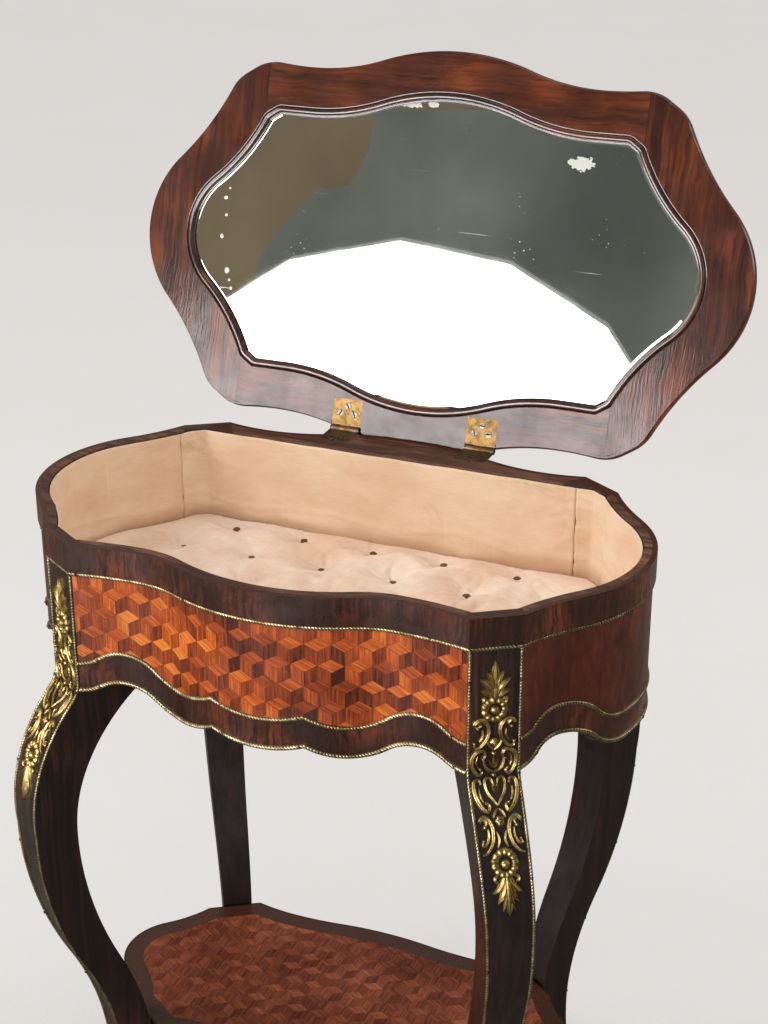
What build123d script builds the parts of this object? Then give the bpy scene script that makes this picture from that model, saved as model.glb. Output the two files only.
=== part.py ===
from build123d import *
import os
from math import cos, radians, sin
from typing import NamedTuple

# Poudreuse: a small serpentine dressing table on four cabriole legs, with canted corners, a hinged lid that
# carries a mirror, a lined compartment with a buttoned cushion, and a lower shelf.
# Millimetres. +Z up, +X to the right, the front faces -Y. The lid stands open, leaning back on its hinges.
# The origin lies on the floor under the middle of the open table.

# ---------------------------------------------------------------- driving dimensions
rim_height = 715.0            # floor to the rim of the case


class Wave(NamedTuple):
    """One long side of a plan: a bow in the middle with a wave on either side of it."""

    reach: float              # middle of the bow, from the plan's middle
    fall: float               # how far the wave falls back from the bow
    dip: float                # where its deepest point lies
    share: float              # part of the fall that the bow itself takes up


class Shape(NamedTuple):
    """Plan with a waved front and rear, bulging sides and four canted corners."""

    half_width: float
    bulge: float
    bulge_reach: float
    corner: tuple             # middle of a canted corner
    corner_width: float
    front: Wave
    rear: Wave


corner_angle = 32.9           # canted corners against the front
case_shape = Shape(
    307.0, 35.0, 87.0, (214.7, 151.8), 48.2,
    Wave(186.0, 28.8, 125.0, 0.7),
    Wave(188.0, 28.7, 150.0, 0.6),
)
lid_shape = Shape(
    327.6, 30.0, 75.0, (224.0, 171.5), 40.0,
    Wave(205.0, 26.7, 155.0, 0.5),
    Wave(199.0, 20.7, 155.0, 0.55),
)
mirror_wave = Wave(163.6, 26.9, 150.0, 0.5)
mirror_shape = Shape(281.5, 26.0, 57.5, (196.5, 132.0), 18.0, mirror_wave, mirror_wave)
shelf_wave = Wave(121.0, 7.0, 105.0, 0.5)

# Rim, frieze and skins
rim_width = 12.5
rear_rim_width = 47.0         # the rear rail is thick enough to take the hinges
frieze_height = 28.0
frieze_proud = 2.5            # frieze stands this far outside the panels
skin_thickness = 2.5
bead_width = 4.0
bead_proud = 2.0

# Shaped lines of the apron, as drops below the rim
front_cusp_x = 46.0
front_lobe_x = 84.0
front_arch_from_corner = 47.0
front_apron = {"middle": 157.5, "cusp": 150.5, "lobe": 160.0, "arch": 139.5, "corner": 153.0}
front_panel = {"middle": 128.5, "cusp": 121.5, "lobe": 131.5, "arch": 109.5, "corner": 125.0}
side_flat_y = 42.0
side_arch_from_corner = 38.0
side_apron = {"middle": 159.5, "arch": 131.0, "corner": 153.0}
side_panel = {"middle": 133.7, "arch": 103.5, "corner": 123.5}

# Compartment
floor_top_drop = 118.0
floor_thickness = 8.0
cleat_size = 11.0
front_cleat_half = 100.0
side_cleat_half = 55.0
lining_thickness = 1.5
lining_top_drop = 2.0
lining_seam_y = 119.0
cushion_thickness = 27.0
button_radius = 5.5
button_thickness = 3.0
button_pitch_x = 82.0
button_pitch_y = 60.0
button_rows = {-2: 5, -1: 6, 0: 7, 1: 6, 2: 5}

# Legs: reach is measured outwards from the canted face's line, square to it
brace_depth = 67.0
spring_drop = 143.0           # below this the leg leaves the upright
spring_length = 20.0
spring_reach = 5.0
knee_height = 411.0
knee_reach = 48.5
knee_depth = 42.0
waist_height = 245.0
waist_reach = 8.5
waist_depth = 37.0
ankle_height = 127.0
ankle_reach = -23.0
ankle_depth = 36.3
foot_reach = -3.0
foot_depth = 31.0
knee_width = 44.4
waist_width = 37.0
ankle_width = 31.0
foot_width = 28.0
stance = {"front": (0.14, 0.0), "rear": (0.05, -6.0)}     # lean of the bow and set, towards the side
sabot_height = 44.0
sabot_wall = 2.5
sole_thickness = 3.0

# Corner mounts
mount_proud = 3.5
mount_top_drop = 43.0
mount_spine = 3.0

# Shelf
shelf_top_height = 148.0
shelf_board_thickness = 14.0
shelf_veneer = 2.0
shelf_half_width = 256.0
shelf_bulge = 20.0
shelf_bulge_reach = 45.0
shelf_corner_width = 58.0
shelf_corner_set = -3.2
shelf_band_width = 19.0
dowel_radius = 4.0
dowel_in_leg = 14.0
dowel_in_shelf = 22.0

# Lid
open_angle = 107.8
lid_shift = 3.7               # the closed lid sits this far to the rear
lid_corner_round = 22.0
lid_edge_width = 5.0
lid_frame_thickness = 7.0
lid_board_thickness = 10.0
lid_veneer = 2.0
lid_top_band = 32.0
mirror_moulding_width = 9.0
mirror_recess = 3.0
glass_thickness = 3.0

# Hinges
hinge_x = 74.0
hinge_setback = 3.6           # pin behind the middle of the rear bow
leaf_width = 32.0
leaf_length = 31.5
leaf_thickness = 1.6
knuckle_radius = 3.5
pin_radius = 1.5
screw_radius = 1.5
screw_head_radius = 3.6
case_screw_length = 12.0
lid_screw_length = 6.5
screw_slot = 0.8
screw_side = 7.5
case_screw_rows = (30.0, 23.5)     # one screw, then two, measured from the pin
lid_screw_rows = (24.0, 16.3)

# Clearances
running = 0.05                # pin and screw holes, on the radius
fit = 0.2                     # board in a frame
cloth_gap = 0.3
lid_gap = 0.4                 # under the closed lid
swing_gap = 0.4               # round a knuckle

# ---------------------------------------------------------------- sizes that follow
rail_inset = frieze_proud + skin_thickness
face_inset = frieze_proud
frieze_bottom = rim_height - frieze_height
bead_top = frieze_bottom
floor_top = rim_height - floor_top_drop
floor_bottom = floor_top - floor_thickness
apron_lowest = rim_height - max(*front_apron.values(), *side_apron.values()) - bead_width

across = (sin(radians(corner_angle)), cos(radians(corner_angle)))       # square to the canted face
along = (cos(radians(corner_angle)), -sin(radians(corner_angle)))       # in the face, towards the side


def corner_ends(middle, width):
    """Two ends of a canted corner, first the one towards the front or rear and then the side's."""
    half = width / 2
    return (
        (middle[0] - along[0] * half, middle[1] - along[1] * half),
        (middle[0] + along[0] * half, middle[1] + along[1] * half),
    )


def off_corner(reach, sideways):
    """Point of the plan, measured from the middle of the case's canted corner."""
    return (
        corner[0] + across[0] * reach + along[0] * sideways,
        corner[1] + across[1] * reach + along[1] * sideways,
    )


corner = case_shape.corner
corner_width = case_shape.corner_width
half_corner = corner_width / 2
front_corner, side_corner = corner_ends(corner, corner_width)

knee_line = knee_reach - knee_depth
waist_line = waist_reach - waist_depth
ankle_line = ankle_reach - ankle_depth
foot_line = foot_reach - foot_depth

shelf_reach = ankle_line - cloth_gap
shelf_shape = Shape(
    shelf_half_width,
    shelf_bulge,
    shelf_bulge_reach,
    off_corner(shelf_reach, shelf_corner_set),
    shelf_corner_width,
    shelf_wave,
    shelf_wave,
)

hinge_y = case_shape.rear.reach + hinge_setback
pin_rise = lid_gap / 2
lid_thickness = lid_frame_thickness + lid_board_thickness + lid_veneer
open_cos, open_sin = cos(radians(open_angle)), sin(radians(open_angle))
rear_reach = (
    hinge_y
    - (hinge_y - lid_shift + lid_shape.front.reach) * open_cos
    + (lid_gap + lid_thickness) * open_sin
)
knee_lean, knee_set = stance["front"]
front_reach = -off_corner(knee_reach + bead_proud, knee_lean * knee_reach + knee_set - knee_width / 2)[1]
case_y = -(front_reach + rear_reach) / 2

sector_out = case_shape.half_width
sector_in = 60.0
far = 2 * case_shape.half_width

# ---------------------------------------------------------------- planes
def level(height):
    """Horizontal plane at a height above the floor, with its origin at the case's middle."""
    return Plane((0, case_y, height))


def lid_level(height):
    """Plane parallel to the open lid, at a height above the rim when the lid is shut."""
    back, rise = lid_shift - hinge_y, height - pin_rise
    return Plane(
        origin=(
            0,
            case_y + hinge_y + back * open_cos + rise * open_sin,
            rim_height + pin_rise - back * open_sin + rise * open_cos,
        ),
        x_dir=(1, 0, 0),
        z_dir=(0, open_sin, open_cos),
    )


middle_plane = Plane(origin=(0, case_y, 0), x_dir=(1, 0, 0), z_dir=(0, 1, 0))
corner_point = (corner[0], case_y + corner[1], 0)
bow_plane = Plane(origin=corner_point, x_dir=(*across, 0), z_dir=(*along, 0))
face_plane = Plane(origin=corner_point, x_dir=(*along, 0), z_dir=(-across[0], -across[1], 0))
elevations = {
    "front": Plane(origin=(0, case_y, 0), x_dir=(1, 0, 0), z_dir=(0, -1, 0)),
    "side": Plane(origin=(0, case_y, 0), x_dir=(0, 1, 0), z_dir=(1, 0, 0)),
}
pin_plane = Plane(origin=(0, case_y + hinge_y, rim_height + pin_rise), x_dir=(0, 1, 0), z_dir=(1, 0, 0))

walls = {"front": ("front", -1), "rear": ("front", 1), "left": ("side", -1), "right": ("side", 1)}
corners = {"front_left": (-1, -1), "front_right": (1, -1), "rear_left": (-1, 1), "rear_right": (1, 1)}
sides = {"left": -1, "right": 1}


def save(piece, name):
    """Label a finished piece and write it under its own name."""
    piece.part.label = name
    export_step(piece.part, f"parts/{name}.step")


# ---------------------------------------------------------------- outlines
def ogee(start, end, share=0.5):
    """S-curve of two tangent arcs that leaves and arrives along the drawing's X axis."""
    join = (start[0] + (end[0] - start[0]) * share, start[1] + (end[1] - start[1]) * share)
    heading = 1 if end[0] > start[0] else -1
    first = TangentArc(start, join, tangent=(heading, 0))
    TangentArc(join, end, tangent=first % 1)


def serpentine(shape, grow=0.0):
    """Area inside a plan, grown or shrunk."""
    ends = corner_ends(shape.corner, shape.corner_width)
    with BuildSketch() as plan:
        with BuildLine():
            for way, wave in ((-1, shape.front), (1, shape.rear)):
                low = (wave.dip, way * (wave.reach - wave.fall))
                front_end, side_end = ((x, way * y) for x, y in ends)
                ogee((0, way * wave.reach), low, wave.share)
                TangentArc(low, front_end, tangent=(1, 0))
                Line(front_end, side_end)
                widest = (shape.half_width, 0)
                turn = (shape.half_width - shape.bulge, way * shape.bulge_reach)
                side = TangentArc(widest, turn, tangent=(0, way))
                TangentArc(turn, side_end, tangent=side % 1)
            mirror(about=Plane.YZ)
        make_face()
        if grow:
            offset(amount=grow, kind=Kind.ARC if grow > 0 else Kind.INTERSECTION)
    return plan.sketch


def case_plan(inset=0.0):
    """Outline of the case, inset from the rim's outer edge."""
    return serpentine(case_shape, -inset)


def lid_plan(inset=0.0):
    """Outline of the lid, with its corners rounded."""
    with BuildSketch() as plan:
        add(serpentine(lid_shape, -max(lid_corner_round, inset)))
        if inset < lid_corner_round:
            offset(amount=lid_corner_round - inset, kind=Kind.ARC)
    return plan.sketch


def mirror_plan(inset=0.0):
    """Outline of the mirror's moulding."""
    return serpentine(mirror_shape, -inset)


def shelf_plan(inset=0.0):
    """Outline of the shelf."""
    return serpentine(shelf_shape, -inset)


def cavity(clearance=0.0):
    """Inside of the compartment: follows the rim, but is straight at the rear."""
    with BuildSketch() as inside:
        add(case_plan(rim_width + clearance))
        rear_line = case_shape.rear.reach - rear_rim_width - clearance
        with Locations((0, rear_line + far / 2)):
            Rectangle(far, far, mode=Mode.SUBTRACT)
    return inside.sketch


def sector(wall):
    """Part of the plan that belongs to one wall, between the corner posts."""
    kind, sign = walls[wall]
    base = front_corner if kind == "front" else side_corner
    outer = (base[0] + across[0] * sector_out, base[1] + across[1] * sector_out)
    inner = (base[0] - across[0] * sector_in, base[1] - across[1] * sector_in)
    if kind == "front":
        points = [(outer[0], sign * outer[1]), (inner[0], sign * inner[1])]
        points += [(-x, y) for x, y in reversed(points)]
    else:
        points = [(sign * outer[0], outer[1]), (sign * inner[0], inner[1])]
        points += [(x, -y) for x, y in reversed(points)]
    with BuildSketch() as area:
        with BuildLine():
            Polyline(*points, close=True)
        make_face()
    return area.sketch


def shaped_line(kind, drops, lift):
    """Shaped line of an apron or panel, right to left, carried past the corners; returns its two ends."""
    height = {name: rim_height - drop + lift for name, drop in drops.items()}
    end = front_corner[0] if kind == "front" else side_corner[1]
    for way in (1, -1):
        if kind == "front":
            arch = (way * (end - front_arch_from_corner), height["arch"])
            lobe = (way * front_lobe_x, height["lobe"])
            TangentArc(lobe, (way * front_cusp_x, height["cusp"]), tangent=(-way, 0))
        else:
            arch = (way * (end - side_arch_from_corner), height["arch"])
            lobe = (way * side_flat_y, height["middle"])
        ogee(lobe, arch)
        ogee(arch, (way * end, height["corner"]))
        Line((way * end, height["corner"]), (way * far / 2, height["corner"]))
    if kind == "front":
        cusp = (front_cusp_x, height["cusp"])
        ThreePointArc(cusp, (0, height["middle"]), (-cusp[0], cusp[1]))
    else:
        Line((side_flat_y, height["middle"]), (-side_flat_y, height["middle"]))
    return height["corner"]


def region(kind, low, high=None, lift=0.0, top=rim_height):
    """Elevation area above one shaped line, up to a second line or to a level top."""
    with BuildSketch() as area:
        with BuildLine():
            start = shaped_line(kind, low, 0.0)
            if high is None:
                end = top
                Line((far / 2, end), (-far / 2, end))
            else:
                end = shaped_line(kind, high, lift)
            Line((far / 2, start), (far / 2, end))
            Line((-far / 2, start), (-far / 2, end))
        make_face()
    return area.sketch


def strip(wall, outer, inner, area):
    """Strip of one wall between two outlines, cut to its elevation."""
    with BuildPart() as piece:
        with BuildSketch(level(apron_lowest)):
            add(outer)
            add(inner, mode=Mode.SUBTRACT)
            add(sector(wall), mode=Mode.INTERSECT)
        extrude(amount=rim_height - apron_lowest)
        with BuildSketch(elevations[walls[wall][0]]):
            add(area)
        extrude(amount=far, both=True, mode=Mode.INTERSECT)
    return piece.part


def ring(plane, outer, inner, height):
    """Flat ring between two outlines."""
    with BuildPart() as piece:
        with BuildSketch(plane):
            add(outer)
            add(inner, mode=Mode.SUBTRACT)
        extrude(amount=height)
    return piece.part


def slab(plane, plan, height):
    """Board of one outline."""
    with BuildPart() as piece:
        with BuildSketch(plane):
            add(plan)
        extrude(amount=height)
    return piece.part


def at_corner(base, corner_name):
    """A piece made for the rear right corner, mirrored to its own corner."""
    side, end = corners[corner_name]
    with BuildPart() as piece:
        add(base)
        if side < 0:
            mirror(about=Plane.YZ, mode=Mode.REPLACE)
        if end < 0:
            mirror(about=middle_plane, mode=Mode.REPLACE)
    return piece


apron_lines = {"front": front_apron, "side": side_apron}
panel_lines = {"front": front_panel, "side": side_panel}

# ---------------------------------------------------------------- hinge cutters
def screws(plane, flip, rows, length, grow=0.0, slotted=True):
    """Six countersunk screws in two hinge leaves; grow makes the hole that they sit in."""
    with BuildPart() as piece:
        for side in sides.values():
            for across_leaf, from_pin in ((0, rows[0]), (-screw_side, rows[1]), (screw_side, rows[1])):
                spot = (side * hinge_x + across_leaf, flip * from_pin)
                head = Plane(plane * Pos(*spot))
                with BuildSketch(head):
                    Circle(screw_head_radius + grow)
                with BuildSketch(head.offset(leaf_thickness)):
                    Circle(screw_radius + grow)
                loft()
                with BuildSketch(head):
                    Circle(screw_radius + grow)
                extrude(amount=length + grow)
                if slotted:
                    with BuildSketch(head):
                        Rectangle(2 * screw_head_radius, screw_slot)
                    extrude(amount=leaf_thickness / 2, mode=Mode.SUBTRACT)
    return piece.part


def leaf_blank(plane, grow=0.0):
    """Flat of one hinge leaf, right side; the plane's origin lies on the pin's line."""
    with BuildPart() as piece:
        with BuildSketch(plane):
            with Locations((hinge_x, -leaf_length / 2)):
                Rectangle(leaf_width + 2 * grow, leaf_length + 2 * grow)
        extrude(amount=leaf_thickness)
    return piece.part


def barrel(radius, start, length, grow=0.0):
    """Cylinder about the pin, from start along the right hinge's width."""
    with BuildPart() as piece:
        with BuildSketch(pin_plane.offset(hinge_x - leaf_width / 2 + start - grow)):
            Circle(radius)
        extrude(amount=length + 2 * grow)
    return piece.part


def both_sides(base):
    """A right hand piece together with its mirror image."""
    with BuildPart() as piece:
        add(base)
        mirror(about=Plane.YZ)
    return piece.part


case_top = Plane(origin=(0, case_y + hinge_y, rim_height), x_dir=(1, 0, 0), z_dir=(0, 0, -1))
case_leaf_plane = Plane(origin=(0, case_y + hinge_y, rim_height - leaf_thickness), x_dir=(1, 0, 0))
lid_face = lid_level(lid_gap)
lid_leaf_plane = Plane(lid_face * Pos(0, hinge_y - lid_shift))
knuckle_length = leaf_width / 3
case_leaf_seat = both_sides(leaf_blank(case_leaf_plane, grow=running))
lid_leaf_seat = both_sides(leaf_blank(lid_leaf_plane, grow=running))
knuckle_seat = both_sides(barrel(knuckle_radius + swing_gap, 0, leaf_width, grow=swing_gap))
case_screw_holes = screws(case_top, 1, case_screw_rows, case_screw_length, grow=running, slotted=False)
lid_screw_holes = screws(lid_leaf_plane, -1, lid_screw_rows, lid_screw_length, grow=running, slotted=False)

os.makedirs("parts", exist_ok=True)

# ---------------------------------------------------------------- legs
def face_line(proud, top):
    """Outer line of the leg in its bow plane, moved outwards by proud; returns its ends."""
    spring = rim_height - spring_drop
    start = (proud - face_inset, top)
    upright = Line(start, (proud - face_inset, spring))
    shoulder = TangentArc(upright @ 1, (spring_reach + proud, spring - spring_length), tangent=(0, -1))
    knee = TangentArc(shoulder @ 1, (knee_reach + proud, knee_height), tangent=shoulder % 1)
    waist = TangentArc(knee @ 1, (waist_reach + proud, waist_height), tangent=(0, -1))
    ankle = TangentArc(waist @ 1, (ankle_reach + proud, ankle_height), tangent=waist % 1)
    foot = TangentArc(ankle @ 1, (foot_reach + proud, 0), tangent=ankle % 1)
    return start, foot @ 1


def edge_line(end, side, shift=0.0):
    """Edge of a leg's canted face, seen square to it: side is 1 towards the table's side and -1 away."""
    lean, set_over = stance[end]
    spring = rim_height - front_apron["corner"] - bead_width / 2
    points = [(side * half_corner + shift, spring)]
    for width, reach, height in (
        (knee_width, knee_reach, knee_height),
        (waist_width, waist_reach, waist_height),
        (ankle_width, ankle_reach, ankle_height),
        (foot_width, foot_reach, 0),
    ):
        points.append((side * width / 2 + lean * reach + set_over + shift, height))
    Line((points[0][0], rim_height), points[0])
    Spline(*points, tangents=((0, -1), (0, -1)))
    return (points[0][0], rim_height), points[-1]


def face_shell(proud):
    """Skin on the leg's outer face, as thick as it stands proud."""
    with BuildPart() as piece:
        with BuildSketch(bow_plane):
            with BuildLine():
                inner = face_line(0.0, bead_top)
                outer = face_line(proud, bead_top)
                Line(inner[0], outer[0])
                Line(inner[1], outer[1])
            make_face()
        extrude(amount=corner_width, both=True)
    return piece.part


def face_cut(end, low, high, strips=False):
    """Silhouette of a leg's face between two heights, or its two edge strips, carried right through."""
    with BuildPart() as piece:
        with BuildSketch(face_plane):
            if strips:
                for side in sides.values():
                    with BuildLine():
                        outer = edge_line(end, side)
                        inner = edge_line(end, side, -side * bead_width)
                        Line(outer[0], inner[0])
                        Line(outer[1], inner[1])
                    make_face()
            else:
                with BuildLine():
                    first = edge_line(end, 1)
                    second = edge_line(end, -1)
                    Line(first[0], second[0])
                    Line(first[1], second[1])
                make_face()
            with Locations((0, (low + high) / 2)):
                Rectangle(4 * corner_width, high - low, mode=Mode.INTERSECT)
        extrude(amount=far, both=True)
    return piece.part


with BuildPart() as leg_blank:
    with BuildSketch(bow_plane):
        with BuildLine():
            top, toe = face_line(0.0, frieze_bottom)
            inner_top = rim_height - spring_drop - spring_length
            hock = TangentArc((knee_line, knee_height), (-brace_depth, inner_top), tangent=(0, 1))
            calf = TangentArc((knee_line, knee_height), (waist_line, waist_height), tangent=(0, -1))
            shin = TangentArc(calf @ 1, (ankle_line, ankle_height), tangent=calf % 1)
            heel = TangentArc(shin @ 1, (foot_line, 0), tangent=shin % 1)
            brace = (-brace_depth, rim_height)
            Polyline(hock @ 1, brace, (-rail_inset, rim_height), (-rail_inset, top[1]), top)
            Line(heel @ 1, toe)
        make_face()
    extrude(amount=corner_width, both=True)

toe_slope = (foot_reach - ankle_reach) / ankle_height
heel_slope = (foot_line - ankle_line) / ankle_height
with BuildPart() as sabot_blank:
    with BuildSketch(bow_plane):
        with BuildLine():
            toe_top = (foot_reach - 1.6 * toe_slope * sabot_height + sabot_wall, sabot_height)
            heel_top = (foot_line - 1.6 * heel_slope * sabot_height - sabot_wall, sabot_height)
            sole = ((foot_line - sabot_wall, 0), (foot_reach + 2 * sabot_wall, 0))
            Polyline(heel_top, *sole, toe_top)
            ThreePointArc(toe_top, ((toe_top[0] + heel_top[0]) / 2, sabot_height - 9), heel_top)
        make_face()
    extrude(amount=corner_width, both=True)

shelf_mid = shelf_top_height - shelf_veneer - shelf_board_thickness / 2


def dowel(end, grow=0.0):
    """Dowel between a leg and the shelf, rear right corner; grow makes its hole."""
    lean, set_over = stance[end]
    middle = off_corner(0, lean * ankle_reach + set_over)
    start = Plane(
        origin=(middle[0], case_y + middle[1], shelf_mid),
        x_dir=(*along, 0),
        z_dir=(-across[0], -across[1], 0),
    )
    with BuildPart() as piece:
        with BuildSketch(start.offset(-shelf_reach - dowel_in_leg - grow)):
            Circle(dowel_radius + grow)
        extrude(amount=dowel_in_leg + dowel_in_shelf + 2 * grow)
    return piece.part


def sabot_width(end, extra):
    """Block as wide as a foot and extra on each side."""
    lean, set_over = stance[end]
    with BuildPart() as piece:
        with BuildSketch(face_plane):
            with Locations((lean * foot_reach + set_over, sabot_height / 2)):
                Trapezoid(foot_width + 2 * extra, sabot_height, 87.5)
        extrude(amount=far, both=True)
    return piece.part


with BuildPart() as compartment:
    with BuildSketch(level(floor_bottom)):
        add(cavity())
    extrude(amount=floor_top_drop + floor_thickness)

bead_outer = case_plan(face_inset - bead_proud)
frieze_ring = ring(level(frieze_bottom), case_plan(), case_plan(rail_inset), frieze_height)
frieze_bead_ring = ring(level(bead_top - bead_width), bead_outer, case_plan(face_inset), bead_width)

leg_bases = {}
sabot_bases = {}
for end in stance:
    # The sole closes the sabot, so the leg stops on it
    with BuildPart() as leg_base:
        add(leg_blank.part)
        add(face_cut(end, sole_thickness, rim_height), mode=Mode.INTERSECT)
        add(dowel(end, running), mode=Mode.SUBTRACT)
    leg_bases[end] = leg_base.part
    with BuildPart() as sabot_base:
        add(sabot_blank.part)
        add(sabot_width(end, sabot_wall), mode=Mode.INTERSECT)
        add(leg_base.part, mode=Mode.SUBTRACT)
    sabot_bases[end] = sabot_base.part

for name in corners:
    end = name.split("_")[0]
    with BuildPart() as leg:
        add(at_corner(leg_bases[end], name).part)
        add(compartment.part, mode=Mode.SUBTRACT)
        add([frieze_ring, frieze_bead_ring], mode=Mode.SUBTRACT)
    save(leg, f"leg_{name}")
    save(at_corner(sabot_bases[end], name), f"sabot_{name}")

# ---------------------------------------------------------------- beads and mounts on the legs
mount_rings = [
    # drop below the mount's top, sideways, outer radius, inner radius
    (47.5, 0.0, 11.5, 5.0),
    (72.0, -9.5, 8.0, 4.0),
    (72.0, 9.5, 8.0, 4.0),
    (104.0, -11.0, 9.5, 5.5),
    (104.0, 11.0, 9.5, 5.5),
    (128.0, -9.0, 9.5, 5.5),
    (128.0, 9.0, 9.5, 5.5),
    (152.0, -9.0, 8.5, 4.5),
    (152.0, 9.0, 8.5, 4.5),
    (175.5, 0.0, 12.0, 5.0),
]
mount_solids = [
    # drop below the mount's top, half width, half height
    (18.0, 9.0, 18.0),
    (26.0, 15.0, 7.0),
    (64.0, 4.0, 10.0),
    (82.0, 5.0, 6.0),
    (117.0, 6.0, 6.0),
    (142.0, 5.0, 6.0),
    (164.0, 5.0, 6.0),
    (205.0, 7.0, 18.0),
    (196.0, 13.5, 6.0),
]
mount_top = rim_height - mount_top_drop


def mount_sway(end, drop):
    """How far a leg's middle line lies to the side, at a drop below the mount's top."""
    lean, set_over = stance[end]
    straight = spring_drop - mount_top_drop
    below = max(0.0, drop - straight) / (mount_top - knee_height - straight)
    return (lean * knee_reach + set_over) * min(1.0, below)


for end in stance:
    with BuildPart() as leg_bead_base:
        add(face_shell(bead_proud))
        add(face_cut(end, sabot_height, bead_top - bead_width, strips=True), mode=Mode.INTERSECT)
    with BuildPart() as mount_base:
        add(face_shell(mount_proud))
        with BuildSketch(face_plane):
            for drop, sideways, outer_radius, inner_radius in mount_rings:
                with Locations((sideways + mount_sway(end, drop), mount_top - drop)):
                    Circle(outer_radius)
            for drop, sideways, outer_radius, inner_radius in mount_rings:
                with Locations((sideways + mount_sway(end, drop), mount_top - drop)):
                    Circle(inner_radius, mode=Mode.SUBTRACT)
            for drop, half_width, half_height in mount_solids:
                with Locations((mount_sway(end, drop), mount_top - drop)):
                    Ellipse(half_width, half_height)
            with BuildLine() as spine:
                Polyline(*[(mount_sway(end, drop), mount_top - drop) for drop in (20, 100, 150, 205)])
            trace(spine.line, line_width=mount_spine)
        extrude(amount=far, both=True, mode=Mode.INTERSECT)
        add(leg_bead_base.part, mode=Mode.SUBTRACT)
    for side in sides:
        save(at_corner(leg_bead_base.part, f"{end}_{side}"), f"leg_beads_{end}_{side}")
        save(at_corner(mount_base.part, f"{end}_{side}"), f"mount_{end}_{side}")

# ---------------------------------------------------------------- walls, skins and bead strips
for wall, (kind, _) in walls.items():
    with BuildPart() as rail:
        add(strip(wall, case_plan(rail_inset), cavity(), region(kind, apron_lines[kind])))
        if wall == "rear":
            add(case_leaf_seat, mode=Mode.SUBTRACT)
            add(case_screw_holes, mode=Mode.SUBTRACT)
    save(rail, f"{wall}_wall")

skin_names = {
    "front": "front_marquetry",
    "rear": "rear_marquetry",
    "left": "left_veneer",
    "right": "right_veneer",
}
for wall, (kind, _) in walls.items():
    with BuildPart() as skin:
        panel = region(kind, panel_lines[kind], top=frieze_bottom)
        add(strip(wall, case_plan(face_inset), case_plan(rail_inset), panel))
    save(skin, skin_names[wall])

with BuildPart() as apron_bands:
    for wall, (kind, _) in walls.items():
        area = region(kind, apron_lines[kind], panel_lines[kind])
        add(strip(wall, case_plan(face_inset), case_plan(rail_inset), area))
save(apron_bands, "apron_bands")

with BuildPart() as panel_beads:
    for wall, (kind, _) in walls.items():
        area = region(kind, panel_lines[kind], panel_lines[kind], lift=bead_width)
        add(strip(wall, bead_outer, case_plan(face_inset), area))
save(panel_beads, "panel_beads")

with BuildPart() as apron_beads:
    for wall, (kind, _) in walls.items():
        area = region(kind, apron_lines[kind], apron_lines[kind], lift=bead_width)
        add(strip(wall, bead_outer, case_plan(face_inset), area))
save(apron_beads, "apron_beads")

with BuildPart() as frieze_band:
    add(frieze_ring)
    add(case_leaf_seat, mode=Mode.SUBTRACT)
    add(case_screw_holes, mode=Mode.SUBTRACT)
save(frieze_band, "frieze_band")

with BuildPart() as frieze_bead:
    add(frieze_bead_ring)
save(frieze_bead, "frieze_bead")

# ---------------------------------------------------------------- compartment
with BuildPart() as case_floor:
    add(slab(level(floor_bottom), cavity(fit), floor_thickness))
save(case_floor, "case_floor")

with BuildPart() as floor_cleats:
    with BuildSketch(level(floor_bottom - cleat_size)):
        add(cavity(running))
        add(cavity(cleat_size), mode=Mode.SUBTRACT)
        with BuildSketch(mode=Mode.INTERSECT):
            Rectangle(2 * front_cleat_half, far)
            Rectangle(far, 2 * side_cleat_half)
    extrude(amount=cleat_size)
save(floor_cleats, "floor_cleats")

lining_height = floor_top_drop - lining_top_drop - cloth_gap
seam = lining_seam_y
lining_areas = {
    "front": (0, -seam - far / 2, far, far),
    "rear": (0, seam + far / 2, far, far),
    "left": (-far / 2, 0, far, 2 * (seam - cloth_gap)),
    "right": (far / 2, 0, far, 2 * (seam - cloth_gap)),
}
for wall, (x, y, width, depth) in lining_areas.items():
    with BuildPart() as lining:
        with BuildSketch(level(floor_top + cloth_gap)):
            add(cavity(cloth_gap))
            add(cavity(cloth_gap + lining_thickness), mode=Mode.SUBTRACT)
            with Locations((x, y)):
                Rectangle(width, depth, mode=Mode.INTERSECT)
        extrude(amount=lining_height)
    save(lining, f"lining_{wall}")

cushion_clearance = 2 * cloth_gap + lining_thickness
with BuildPart() as cushion:
    add(slab(level(floor_top + cloth_gap), cavity(cushion_clearance), cushion_thickness))
save(cushion, "cushion")

button_points = [
    ((column - (count - 1) / 2) * button_pitch_x, row * button_pitch_y)
    for row, count in button_rows.items()
    for column in range(count)
]
with BuildPart() as cushion_buttons:
    with BuildSketch(level(floor_top + cushion_thickness + 2 * cloth_gap)):
        with Locations(*button_points):
            Circle(button_radius)
    extrude(amount=button_thickness)
save(cushion_buttons, "cushion_buttons")

# ---------------------------------------------------------------- shelf
shelf_board_bottom = shelf_top_height - shelf_veneer - shelf_board_thickness
dowels = [at_corner(dowel(name.split("_")[0]), name).part for name in corners]
dowel_holes = [at_corner(dowel(name.split("_")[0], running), name).part for name in corners]

with BuildPart() as shelf_board:
    add(slab(level(shelf_board_bottom), shelf_plan(bead_proud), shelf_board_thickness))
    add(dowel_holes, mode=Mode.SUBTRACT)
save(shelf_board, "shelf_board")

shelf_face = level(shelf_top_height - shelf_veneer)
with BuildPart() as shelf_marquetry:
    add(slab(shelf_face, shelf_plan(bead_proud + shelf_band_width), shelf_veneer))
save(shelf_marquetry, "shelf_marquetry")

with BuildPart() as shelf_banding:
    add(ring(shelf_face, shelf_plan(bead_proud), shelf_plan(bead_proud + shelf_band_width), shelf_veneer))
save(shelf_banding, "shelf_banding")

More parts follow.
